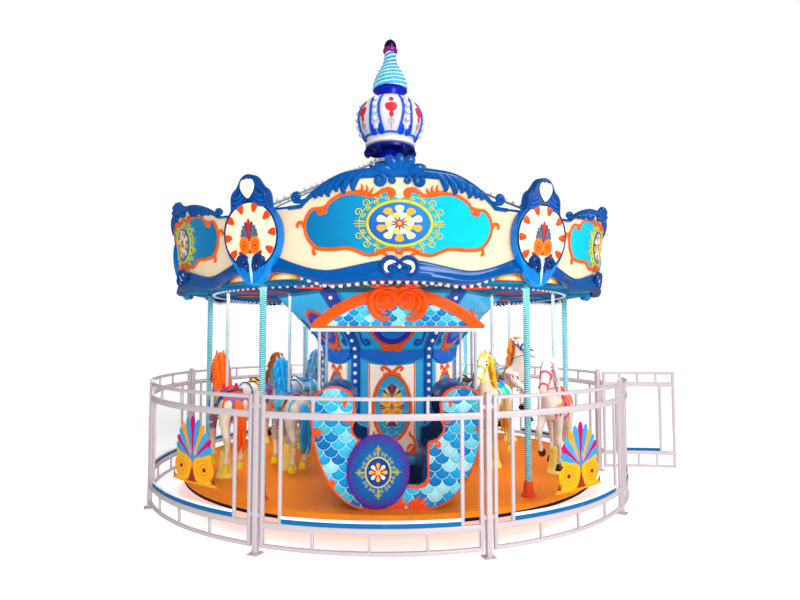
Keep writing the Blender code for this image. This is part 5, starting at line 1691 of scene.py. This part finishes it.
def chariotTrim():
    # orange piping along the outline, curls at the lobes and leaves, all on the outer face
    edge = strands("piping", [sideOutline(0.004)], 0.008, sides=2, closed=True)
    lines = []
    for side in (1, -1):
        volute = [(0.44, 1.138), (0.385, 1.12), (0.345, 1.075), (0.332, 1.01), (0.338, 0.94)] + curl(0.376, 0.912,
            0.036, 185, 0.95, 0.3)
        lines.append(bothSides(taper(smoothLine(volute, 3), 0.3, 1.0, 0.9), side))
        plume = [(0.345, 1.05), (0.385, 1.045), (0.405, 1.01), (0.395, 0.985)]
        lines.append(bothSides(taper(smoothLine(plume, 4), 1.0, 0.3, 0.7), side))
        hook = [(0.236, 0.64), (0.24, 0.705), (0.285, 0.728)] + curl(0.3, 0.705, 0.022, 80, -0.9, 0.3)
        lines.append(bothSides(taper(smoothLine(hook, 3), 0.5, 0.8, 0.5), side))
        sweep = [(0.02, 0.398), (0.12, 0.388), (0.205, 0.4), (0.24, 0.45)]
        lines.append(bothSides(taper(smoothLine(sweep, 4), 0.4, 0.3, 0.6), side))
    for x, z, lean, long, wide in ((-0.64, 0.8, 82, 0.075, 0.05), (-0.52, 0.412, 62, 0.062, 0.04),
                                   (0.638, 0.82, -80, 0.048, 0.04), (0.515, 0.412, -72, 0.05, 0.034)):
        lines += leaf(x, z, lean, long, wide)
    for flame in (((-0.06, 0.241), (-0.025, 0.256), (0.01, 0.268)), ((-0.005, 0.241), (0.018, 0.276),
            (0.04, 0.322)), ((0.03, 0.241), (0.05, 0.266), (0.076, 0.284)), ((0.096, 0.241), (0.1, 0.272),
            (0.12, 0.302)), ((0.126, 0.241), (0.136, 0.282), (0.16, 0.324)), ((0.154, 0.241), (0.174, 0.28),
            (0.204, 0.314)), ((0.182, 0.241), (0.204, 0.256), (0.228, 0.27))):
        lines.append(taper(smoothLine(flame, 4), 1.5, 0.15, 0.7))
    carved = strands("chariotLeaves", lines, 0.0105, sides=2, flat=0.75)
    piece = proud(joinAll("chariotTrim", [edge, carved]), chariot["near"] + 0.001)
    return copiedRound("chariotTrims", piece, chariotTurns)


def chariotBoss():
    cx, cz = chariot["boss"]

    def dome(u, v):
        angle = 2 * pi * u
        return Vector((cx + chariot["bossWide"] * v * cos(angle), -chariot["bossFace"] - chariot["bossDome"] * (
            1 - v ** 4), cz + chariot["bossHigh"] * v * sin(angle)))
    face = sheet("bossFace", 64, 14, dome, merge=nearly)
    inner, middle, rim = Vector(tint("#087CB4")), Vector(tint("#084E9C")), Vector(tint("#521C8C"))

    def fade(spot):
        reach = hypot((spot.x - cx) / chariot["bossWide"], (spot.z - cz) / chariot["bossHigh"])
        share = min(max((reach - 0.78) / 0.2, 0.0), 1.0)
        return inner.lerp(middle, min(reach / 0.8, 1.0)).lerp(rim, share)
    shaded(face, fade)
    rimOutline = oval(cx, cz, chariot["bossWide"], chariot["bossHigh"], 64)
    body = sawn("bossBody", rimOutline, 0.04, 1.929, "#5A2496", bevel=0.004)
    parts = [outward(face), body]
    gold = []
    for k in range(24):
        turn = radians(15 * k)
        x, z = cx + 0.12 * cos(turn), cz + 0.144 * sin(turn)
        gold.append(taper(curl(x, z, 0.0135, 15 * k + (160 if k % 2 else -160), 0.9 if k % 2 else -0.9, 0.35, 9),
            1.0, 0.7))
        if k % 6 == 0:
            for side in (1, -1):
                x, z = cx + 0.146 * cos(turn + side * 0.09), cz + 0.174 * sin(turn + side * 0.09)
                gold.append(taper(curl(x, z, 0.013, 15 * k + side * 120, side * 0.9, 0.3, 9), 1.0, 0.7))
            gold.append([(cx + r * cos(turn), cz + 1.16 * r * sin(turn), 1.0) for r in (0.105, 0.14, 0.172)])
    parts.append(carved("bossFiligree", gold, 0.0036, 1.981, "#C2C23A", sides=1))
    ring = strands("bossRing", [oval(cx, cz, 0.094, 0.111, 40)], 0.0065, sides=1, closed=True, flat=0.6)
    parts.append(painted(proud(ring, 1.981), "#D8C24E"))
    field = cutouts("bossField", [oval(cx, cz, 0.09, 0.107, 32)], 0.003, out=1.979)
    parts += [painted(field, "#123C8A"),
              rosette(cx, cz, 0.07, 1.982)]
    return copiedRound("chariotBosses", joinAll("chariotBoss", parts), chariotTurns)


def rosette(cx, cz, size, out):                            # the emblem in the ovals: a plain flower of eight petals
    parts = []
    for k in range(8):
        petal = drop(cx, cz, 45 * k, size, size * 0.46)
        parts.append(sawn("petal", petal, 0.0024, out + 0.0003 * (k % 2), "#F4F2EC" if k % 2 else "#E8B43A"))
    for k in range(8):
        petal = drop(cx, cz, 45 * k + 22.5, size * 0.62, size * 0.3)
        parts.append(sawn("petalInner", petal, 0.0024, out + 0.0018, "#D8352A"))
    parts.append(sawn("rosetteHeart", oval(cx, cz, size * 0.2, size * 0.2, 14), 0.004, out + 0.003, "#F2C83C"))
    return joinAll("rosette", parts)


def chariotTub():
    low = chariot["low"] + 0.004
    half = [(0.0, low)] + oval(0.215, 0.95, 0.434, 0.95 - low, 12, -90, 0) + oval(0.49, 0.985, 0.159, 0.154, 12, 0,
        160)
    half += smoothLine([(0.352, 1.0), (0.385, 0.95), (0.42, 0.86), (0.452, 0.66), (0.435, 0.628), (0.26, 0.606),
        (0.212, 0.598), (0.2, 0.57), (0.186, 0.29)], 3) + [(0.17, 0.27), (0.0, 0.27)]
    outline = half + [(-x, z) for x, z in reversed(half[1:-1])]
    seats = cutouts("seats", [outline], 0.7394, bevel=0.006, out=1.1602)
    board = cutouts("farBoard", [sideOutline()], 0.0194, bevel=0.003, out=1.1402)
    return copiedRound("chariotTubs", joinAll("chariotTub", [seats, board]), chariotTurns)


def chariotFarTrim():
    edge = strands("farPiping", [sideOutline(0.006)], 0.008, sides=1, closed=True)
    near = edge.copy()
    near.data = edge.data.copy()
    bpy.context.scene.collection.objects.link(near)
    piece = joinAll("farTrim", [proud(edge, 1.139), proud(near, 1.1835)])
    return copiedRound("chariotFarTrims", piece, chariotTurns)


canopyRise = chariot["canopyTop"] - chariot["canopyLow"] - 0.04
canopyRadius = (chariot["canopyHalf"] ** 2 + canopyRise ** 2) / (2 * canopyRise)
canopyReach = degrees(asin(chariot["canopyHalf"] / canopyRadius))
canopyCentre = chariot["canopyTop"] - canopyRadius


def canopyArc(shrink, narrow=0.0):
    return oval(0.0, canopyCentre, canopyRadius - shrink, canopyRadius - shrink, 28, 90 - canopyReach + narrow,
                90 + canopyReach - narrow)


def chariotCanopy():
    parts = []
    shell = canopyArc(0.0) + list(reversed(canopyArc(0.022, narrow=1.0)))
    parts.append(cutouts("canopyRoof", [shell], 0.78, bevel=0.002, out=1.15))
    rim = [(-0.662, 1.598)] + list(reversed(canopyArc(-0.002))) + [(0.662, 1.598), (0.59, 1.598)] + canopyArc(0.074,
        narrow=6.2) + [(-0.59, 1.598)]
    for out, depth in ((chariot["near"] - 0.04, 0.046), (chariot["far"] - 0.005, 0.045)):
        parts.append(cutouts("canopyRim", [rim], depth, bevel=0.006, out=out))
        line = [(-0.655, 1.592), (0.655, 1.592), (0.655, 1.604), (-0.655, 1.604)]
        parts.append(cutouts("canopyLine", [line], depth - 0.004, bevel=0.002, out=out + 0.001))
    scroll = []
    for side in (1, -1):
        rose = [taper(oval(0.078, 1.806, reach, reach * 0.96, 20, 40 + 70 * k, 350 + 70 * k), 0.36, 0.28, 0.18)
                for k, reach in enumerate((0.07, 0.05, 0.031, 0.013))]
        arms = [taper(smoothLine([(0.11, 1.888), (0.165, 1.88), (0.2, 1.84), (0.208, 1.78), (0.19, 1.718),
            (0.148, 1.674), (0.092, 1.66), (0.06, 1.676)], 5), 0.4, 0.35, 0.8),
            taper(smoothLine([(0.15, 1.845), (0.168, 1.8), (0.158, 1.752), (0.125, 1.715), (0.085, 1.702)], 5), 0.4,
            0.25, 0.6), taper(smoothLine([(0.01, 1.892), (0.04, 1.902), (0.08, 1.9)], 4), 0.5, 0.3, 0.2)]
        scroll += [bothSides(line, side) for line in rose + arms]
    parts.append(proud(strands("canopyScroll", scroll, 0.0235, sides=3, flat=0.8), chariot["near"] + 0.012))
    return copiedRound("chariotCanopies", joinAll("canopy", parts), chariotTurns)


def canopyInfill():
    field = list(reversed(canopyArc(0.07, narrow=4.0))) + [(0.6, 1.6), (-0.6, 1.6)]
    parts = [cutouts("infill", [field], 0.026, out=chariot["near"] - 0.034),
             cutouts("infillFar", [field], 0.026, out=chariot["far"] + 0.002)]
    return copiedRound("canopyInfills", flatMap(joinAll("infills", parts)), chariotTurns)


def canopyBeams():
    parts = []
    for out in (chariot["near"] - 0.04, chariot["far"] - 0.002):
        line = [(-0.662, 1.5705), (0.662, 1.5705), (0.662, 1.594), (-0.662, 1.594)]
        parts.append(cutouts("beam", [line], 0.041, bevel=0.004, out=out))
    for side in (1, -1):
        parts.append(block("canopyEdge", (side * 0.65 - 0.01, -1.905, 1.572), (side * 0.65 + 0.01, -1.175, 1.606)))
    return copiedRound("canopyBeams", joinAll("beams", parts), chariotTurns)


def canopyPosts():
    model = twisted("canopyPost", 0.0132, 1.1185, 1.5712, 0.016, 2, 12, 0.002)
    places = [turnedBy(turn) @ Matrix.Translation((x, y, 0)) for turn in chariotTurns
              for x in (-chariot["postX"], chariot["postX"]) for y in (-1.92, -1.16)]
    return scattered("canopyPosts", model, places)


numbers = (1, 2)
dressed(chariotBoard(), chariotScales, slot="sky", replaces=[f"chariot_{i}_front" for i in numbers])
dressed(chariotTrim(), pipingOrange, slot="orange")
dressed(chariotBoss(), fairPaint)
dressed(chariotTub(), seatNavy, slot="navy", replaces=[f"chariot_{i}_tub" for i in numbers])
dressed(chariotFarTrim(), coreSky, slot="sky")
dressed(chariotCanopy(), canopyOrange, slot="orange", replaces=[f"chariot_{i}_canopy" for i in numbers])
dressed(canopyInfill(), canopyScales, slot="sky")
dressed(canopyBeams(), panelCream, slot="ivory")
dressed(canopyPosts(), postSilver, slot="white")
print("chariots dressed")


# Horses. One is modelled in its own frame, head towards +X, then each copy gets its own colours

horse = {"clearance": 0.082, "poleRadius": 0.0162, "poleLow": 0.32, "poleHigh": 2.15, "voxel": 0.0085, "kept": 0.42,
         "rearing": 4, "rearingTurn": -14}
horseLifts = (0.03, -0.04, -0.02, 0.02, 0.05, 0.0, -0.01, 0.03)
horseParts = ("coat", "sock", "muzzle", "hoof", "hair", "cloth", "stripe", "saddle", "strap", "knee", "thigh")
horseColours = [dict(zip(horseParts, colours.split()), eye="#141210") for colours in (
    "#8A5C88 #ECD8B0 #6E4A70 #F6D820 #F05C10 #4FC22E #1E5FC0 #D8281E #E84A1E #DCC09C #EAD8BC",
    "#B8ACA4 #EADFC8 #6E7A84 #F6E020 #1C94D0 #22B0DC #E8641A #2A78C0 #28B4D0 #C8B49C #D8CCBC",
    "#E9DDC8 #D9C6A4 #B79A80 #3A2A22 #8A4A20 #C8322C #F0C53A #7A3A1C #2B57B0 #C9B79A",
    "#B4C2C8 #E4E0D6 #5C6C7A #F0D52A #5E94B4 #20B4E0 #E8E2D2 #3E86B0 #C8D2D8 #A8B4BA",
    "#DDD0C2 #A4A4AA #D8CCC8 #1C1A1A #E07A20 #E8ECF4 #D83A2C #28B0DC #1C3A7A #9C9CA2 #ECDCC8",
    "#98989C #D8D4CC #55555A #2A2A2C #4A5860 #1E7FBE #E8E2D2 #6A3A2A #D8A43A #6C6C70",
    "#DCCFC0 #DCD2C6 #E8BFA0 #1E1A1A #D8CFD8 #F28A28 #DC2C86 #E85A20 #E0357E #F0E2CC",
    "#E2CCB0 #E6D296 #F0C09C #F4D42C #F4AE24 #18C0DC #F4F0E4 #1E9AC8 #C8D040 #EED49C")]
bodyLine = [(-0.395, 0.0, 0.775, 0.02, 0.03), (-0.365, 0.0, 0.778, 0.07, 0.088), (-0.3, 0.0, 0.785, 0.108, 0.122),
            (-0.19, 0.0, 0.782, 0.118, 0.126), (-0.06, 0.0, 0.768, 0.112, 0.116), (0.06, 0.0, 0.77, 0.112, 0.122),
            (0.155, 0.0, 0.8, 0.106, 0.138), (0.225, 0.0, 0.85, 0.088, 0.122), (0.272, 0.0, 0.925, 0.066, 0.104),
            (0.3, 0.0, 1.015, 0.052, 0.086), (0.318, 0.0, 1.095, 0.046, 0.07), (0.325, 0.0, 1.16, 0.044, 0.056),
            (0.322, 0.0, 1.205, 0.03, 0.034)]


def limb(name, stations, sides):
    # a round form along (x, y, z, half width, half depth) stations
    line = smoothLine(stations, 3)
    rings = len(line) - 1

    def place(v):
        i = round(v * rings)
        way = (Vector(line[min(i + 1, rings)][:3]) - Vector(line[max(i - 1, 0)][:3])).normalized()
        side = Vector((0, 1, 0))
        lift = way.cross(side).normalized()
        return Vector(line[i][:3]), side * line[i][3], lift * line[i][4]
    return tube(name, sides, rings, place)


def onSide(side, stations):
    return [(x, y * side, *rest) for x, y, *rest in stations]


def lump(name, at, size, turn=0.0):
    piece = ball(16, 10)
    piece.name = name
    piece.scale, piece.rotation_euler.y, piece.location = size, radians(turn), at
    return settle(piece)


def horseBody():
    parts = [limb("trunk", bodyLine, 20),
        limb("head", [(0.262, 0.0, 1.18, 0.022, 0.026), (0.285, 0.0, 1.18, 0.043, 0.05),
        (0.34, 0.0, 1.15, 0.052, 0.066), (0.395, 0.0, 1.095, 0.044, 0.055), (0.45, 0.0, 1.04, 0.035, 0.042),
        (0.5, 0.0, 0.99, 0.032, 0.036), (0.53, 0.0, 0.962, 0.03, 0.032), (0.546, 0.0, 0.948, 0.018, 0.02)], 16)]
    for side in (1, -1):
        parts += [lump("haunch", (-0.262, 0.06 * side, 0.79), (0.105, 0.062, 0.115)),
                  lump("shoulder", (0.155, 0.062 * side, 0.795), (0.082, 0.052, 0.11)),
                  lump("cheek", (0.33, 0.034 * side, 1.118), (0.042, 0.018, 0.046)),
                  lump("nostril", (0.528, 0.02 * side, 0.972), (0.016, 0.011, 0.013), 40),
                  limb("ear", onSide(side, [(0.272, 0.028, 1.205, 0.014, 0.014), (0.268, 0.032, 1.24, 0.015, 0.011),
                                  (0.274, 0.034, 1.275, 0.008, 0.006), (0.28, 0.034, 1.29, 0.003, 0.003)]), 10)]
    parts.append(lump("chest", (0.225, 0.0, 0.79), (0.075, 0.082, 0.1)))
    legs = [[(0.15, 0.066, 0.8, 0.052, 0.07), (0.17, 0.072, 0.7, 0.044, 0.056), (0.186, 0.074, 0.6, 0.035, 0.04),
        (0.194, 0.074, 0.53, 0.031, 0.035), (0.194, 0.074, 0.49, 0.032, 0.036), (0.184, 0.074, 0.43, 0.022, 0.025),
        (0.168, 0.074, 0.35, 0.021, 0.023), (0.166, 0.074, 0.32, 0.027, 0.029), (0.182, 0.074, 0.285, 0.022,
        0.024)], [(0.15, -0.066, 0.8, 0.052, 0.07), (0.215, -0.072, 0.71, 0.044, 0.054),
        (0.285, -0.074, 0.64, 0.034, 0.039), (0.335, -0.074, 0.605, 0.031, 0.036), (0.35, -0.074, 0.58, 0.031,
        0.035), (0.342, -0.074, 0.52, 0.022, 0.025), (0.32, -0.074, 0.455, 0.021, 0.023),
        (0.308, -0.074, 0.43, 0.026, 0.028), (0.282, -0.074, 0.412, 0.021, 0.023)],
        [(-0.25, 0.07, 0.76, 0.066, 0.096), (-0.262, 0.076, 0.67, 0.054, 0.08), (-0.282, 0.078, 0.59, 0.041, 0.055),
        (-0.335, 0.078, 0.515, 0.03, 0.038), (-0.366, 0.078, 0.475, 0.029, 0.034), (-0.355, 0.078, 0.41, 0.021,
        0.025), (-0.334, 0.078, 0.345, 0.021, 0.023), (-0.33, 0.078, 0.315, 0.027, 0.028),
        (-0.318, 0.078, 0.285, 0.021, 0.023)], [(-0.24, -0.07, 0.76, 0.066, 0.096), (-0.215, -0.076, 0.67, 0.054,
        0.08), (-0.208, -0.078, 0.59, 0.04, 0.054), (-0.245, -0.078, 0.51, 0.03, 0.038),
        (-0.27, -0.078, 0.47, 0.029, 0.034), (-0.248, -0.078, 0.4, 0.021, 0.025), (-0.22, -0.078, 0.345, 0.021,
        0.023), (-0.212, -0.078, 0.315, 0.027, 0.028), (-0.192, -0.078, 0.285, 0.021, 0.023)],]
    for i, leg in enumerate(legs):
        parts.append(limb("leg" + str(i), leg, 12))
    body = joinAll("horseBody", parts)
    applied(body, "REMESH", mode="VOXEL", voxel_size=horse["voxel"])
    applied(body, "SMOOTH", factor=0.5, iterations=5)
    applied(body, "DECIMATE", ratio=horse["kept"])
    return body


def hoof(x, y, z, lean):
    deselectAll()
    bpy.ops.mesh.primitive_cone_add(vertices=16, radius1=0.045, radius2=0.028, depth=0.062)
    piece = bpy.context.object
    applied(piece, "BEVEL", width=0.004, segments=2)
    piece.rotation_euler.y, piece.location = radians(lean), (x, y, z)
    piece.scale.y = 0.85
    return settle(piece)


def hairLocks():
    locks = []
    for k in range(9):
        share = k / 8
        x, z = 0.262 - 0.125 * share ** 1.2, 1.215 - 0.285 * share
        for side in (1, -1):
            swing = 0.02 * sin(2.1 * k)
            locks.append(limb("lock", onSide(side, [(x + 0.02, 0.006, z + 0.012, 0.012, 0.012),
                (x - 0.012, 0.03, z + 0.016, 0.021, 0.019), (x - 0.04 + swing, 0.058, z - 0.035, 0.02, 0.022),
                (x - 0.03 + swing, 0.072, z - 0.095, 0.015, 0.018),
                (x - 0.052 + swing, 0.08, z - 0.14, 0.006, 0.007)]), 8))
    locks.append(limb("crest", [(0.325, 0.0, 1.215, 0.01, 0.01), (0.262, 0.0, 1.235, 0.024, 0.026),
        (0.215, 0.0, 1.165, 0.024, 0.03), (0.18, 0.0, 1.06, 0.024, 0.03), (0.14, 0.0, 0.965, 0.022, 0.026),
        (0.11, 0.0, 0.925, 0.01, 0.01)], 10))
    for side in (1, -1, 0.2):
        locks.append(limb("forelock", onSide(side, [(0.268, 0.01, 1.235, 0.014, 0.012),
            (0.318, 0.018, 1.232, 0.014, 0.012), (0.358, 0.022, 1.19, 0.011, 0.009),
            (0.372, 0.018, 1.15, 0.004, 0.004)]), 8))
    for k, (side, swing) in enumerate(((0, 0.0), (1, 0.01), (-1, 0.012), (0.6, -0.022), (-0.6, -0.02))):
        locks.append(limb("tailLock",
            onSide(side, [(-0.35, 0.0, 0.828, 0.018, 0.018), (-0.402, 0.01, 0.822, 0.025, 0.024),
            (-0.44 - swing, 0.024, 0.745, 0.026, 0.028), (-0.452 - swing, 0.03, 0.64, 0.026, 0.027),
            (-0.432 - 1.5 * swing, 0.034, 0.54, 0.022, 0.022), (-0.446 - 2 * swing, 0.03, 0.45, 0.013, 0.013),
            (-0.42 - 2 * swing, 0.024, 0.395, 0.004, 0.004)]), 8))
    return locks


trunkLine = smoothLine(bodyLine, 6)


def aroundTrunk(x, angle, out):                            # a point on the trunk's skin; angle 0 is straight up
    spot = min(trunkLine[:52], key=lambda p: abs(p[0] - x))
    return Vector((x, (spot[3] + out) * sin(radians(angle)), spot[2] + (spot[4] + out) * cos(radians(angle))))


def trunkBand(name, first, last, angle, out):
    # a strap or cloth laid over the trunk, from first to last along it and down to angle on both sides
    def place(u, v):
        return aroundTrunk(first + (last - first) * v, angle * (2 * u - 1), out)
    return sheet(name, 36, max(2, round(abs(last - first) / 0.03)), place, thick=0.01)


def horseTack():
    # every piece of the tack with the name of its colour
    parts = [(trunkBand("cloth", -0.185, 0.085, 78, 0.014), "cloth"),
             (trunkBand("clothEdge", -0.197, -0.18, 80, 0.018), "stripe"),
             (trunkBand("clothFront", 0.08, 0.096, 80, 0.018), "stripe"),
             (trunkBand("girth", -0.06, -0.03, 179.9, 0.018), "strap"),
             (trunkBand("crupper", -0.33, -0.312, 100, 0.012), "strap")]
    parts += [(lump("saddle", (-0.055, 0.0, 0.905), (0.118, 0.078, 0.03)), "saddle"),
        (limb("cantle", [(-0.15, -0.075, 0.905, 0.012, 0.012), (-0.172, -0.045, 0.945, 0.018, 0.014),
        (-0.18, 0.0, 0.962, 0.02, 0.016), (-0.172, 0.045, 0.945, 0.018, 0.014),
        (-0.15, 0.075, 0.905, 0.012, 0.012)], 10), "saddle"),
        (lump("pommel", (0.052, 0.0, 0.94), (0.024, 0.022, 0.04), -14), "saddle")]
    for side in (1, -1):
        parts += [
            (limb("stirrupStrap", onSide(side, [(-0.01, 0.088, 0.89, 0.003, 0.01), (0.0, 0.128, 0.8, 0.003, 0.01),
            (0.01, 0.136, 0.69, 0.003, 0.009), (0.012, 0.136, 0.64, 0.003, 0.006)]), 6), "strap"),
            (lump("stirrup", (0.014, 0.136 * side, 0.622), (0.03, 0.02, 0.009)), "knee"),
            (limb("rein", onSide(side, [(0.5, 0.036, 0.985, 0.004, 0.005), (0.42, 0.062, 0.99, 0.004, 0.005),
            (0.28, 0.088, 0.985, 0.004, 0.005), (0.13, 0.06, 0.965, 0.004, 0.005),
            (0.055, 0.01, 0.955, 0.004, 0.005)]), 6), "strap"),
            (limb("cheekStrap", onSide(side, [(0.268, 0.046, 1.18, 0.004, 0.008), (0.345, 0.06, 1.13, 0.004, 0.008),
            (0.43, 0.046, 1.045, 0.004, 0.008), (0.492, 0.036, 0.992, 0.004, 0.008)]), 6), "strap"),
            (lump("blinker", (0.362, 0.05 * side, 1.14), (0.012, 0.006, 0.012)), "eye"),
            (limb("breast", onSide(side, [(0.12, 0.112, 0.85, 0.006, 0.018), (0.21, 0.106, 0.805, 0.006, 0.03),
            (0.275, 0.062, 0.778, 0.008, 0.038), (0.3, 0.0, 0.768, 0.01, 0.042)]), 8), "cloth")]
        for k in range(4):
            x = 0.135 + 0.042 * k
            y = (0.112, 0.11, 0.095, 0.062)[k]
            z = 0.822 - 0.018 * k
            tassel = [(x, y, z, 0.012, 0.012), (x + 0.004, y + 0.004, z - 0.045, 0.009, 0.009),
                      (x + 0.004, y + 0.004, z - 0.07, 0.002, 0.002)]
            parts.append((limb("tassel", onSide(side, tassel), 6), "stripe"))
    parts += [(noseBand(0.482, 1.008, 0.041, 0.046), "strap"), (noseBand(0.392, 1.098, 0.052, 0.064), "strap"),
        (limb("browBand", [(0.292, -0.05, 1.185, 0.006, 0.006), (0.318, -0.03, 1.212, 0.006, 0.006),
        (0.326, 0.0, 1.222, 0.008, 0.008), (0.318, 0.03, 1.212, 0.006, 0.006), (0.292, 0.05, 1.185, 0.006, 0.006)],
        6), "strap")]
    return parts


def noseBand(x, z, wide, high):
    way = Vector((0.707, 0, -0.707))
    up = Vector((0.707, 0, 0.707))
    line = [Vector((x, 0, z)) + up * high * cos(radians(a)) + Vector((0, wide * sin(radians(a)), 0))
        for a in range(0, 361, 20)]

    def roll(u, v):
        spot = line[round(u * 18) % 18]
        return spot + way * (0.009 * (2 * v - 1)) + (spot - Vector((x, 0, z))).normalized() * 0.001
    return sheet("noseBand", 18, 1, roll, thick=0.005, merge=nearly)


def captured(piece, role):                                 # a part's mesh, with a colour name for each of its points
    points = [v.co.copy() for v in piece.data.vertices]
    faces = [tuple(p.vertices) for p in piece.data.polygons]
    roles = [role(p) if callable(role) else role for p in points]
    bpy.data.objects.remove(piece)
    return points, faces, roles


def stamped(name, parts, colours, place):                  # the captured parts in one horse's colours, at its place
    points, faces, shades = [], [], []
    for base, polygons, roles in parts:
        start = len(points)
        points += [place @ p for p in base]
        faces += [tuple(start + k for k in polygon) for polygon in polygons]
        shades += [tint(colours.get(role) or colours["coat"]) for role in roles]
    return smoothed(fromPoints(name, points, faces, shades), 60)


def coatRole(point):
    if point.x < -0.16 and 0.519 < point.z < 0.845 and abs(point.y) > 0.05:
        return "thigh"
    if point.z < 0.452 and (abs(point.x) > 0.13):
        return "sock"
    if 0.452 <= point.z < 0.535 and point.x > 0.13 and point.y > 0.03:
        return "knee"
    if point.x + (1.03 - point.z) > 0.545 and point.z > 0.9:
        return "muzzle"
    if 0.452 <= point.z < 0.52 and point.x < -0.2:
        return "knee"
    return "coat"


coatParts = [captured(horseBody(), coatRole)]
for spot in ((0.2, 0.074, 0.248, -8), (0.262, -0.074, 0.395, 60), (-0.302, 0.078, 0.248, -8),
        (-0.175, -0.078, 0.248, -8)):
    coatParts.append(captured(hoof(*spot), "hoof"))
for side in (1, -1):
    coatParts.append(captured(lump("eye", (0.352, 0.047 * side, 1.172), (0.011, 0.006, 0.009)), "eye"))
tackParts = [captured(lock, "hair") for lock in hairLocks()] + [captured(piece, role) for piece, role in horseTack(
    )]
horsePole = captured(twisted("horsePole", horse["poleRadius"], horse["poleLow"] + 0.001, horse["poleHigh"] - 0.001,
    0.015, 2, 12, 0.0022), "eye")
haunch = Vector((-0.2, 0, 0.5))                          # one horse is reared up about this point
rearing = Matrix.Translation(haunch + Vector((0.02, 0, 0.03))) @ Matrix.Rotation(radians(horse["rearingTurn"]), 4,
    "Y") @ Matrix.Translation(-haunch)
for i, ((orbit, azimuth), lift, palette) in enumerate(zip(horseSpots, horseLifts, horseColours)):
    name = f"horse_{i + 1}"
    stand = turnedBy(restTurn) @ Matrix.Translation(onCircle(orbit, azimuth, lift)) @ turnedBy(azimuth + 180)
    pose = stand @ Matrix.Translation((0, 0, horse["clearance"])) @ (rearing if i == horse["rearing"]
        else Matrix.Identity(4))
    dressed(stamped("coatOf" + name.title(), coatParts, palette, pose), fairPaint, body=name, slot="coat",
        replaces=[name])
    dressed(stamped("tackOf" + name.title(), tackParts, palette, pose), fairPaint, body=name)
    dressed(stamped("poleOf" + name.title(), [horsePole], palette, stand), polePearl, body=name, slot="white")
print("horses dressed")


# Finish

plain = {"platform": scrollOrange, "platform_rim": linerNavy, "ceiling": soffitBlue, "roof_frame": soffitBlue}
for name, node in cadNodes.items():
    if not node.hide_render:
        node.data.materials.clear()
        node.data.materials.append(plain.get(name, trimAzure if "cartouche" in name else boardIvory))
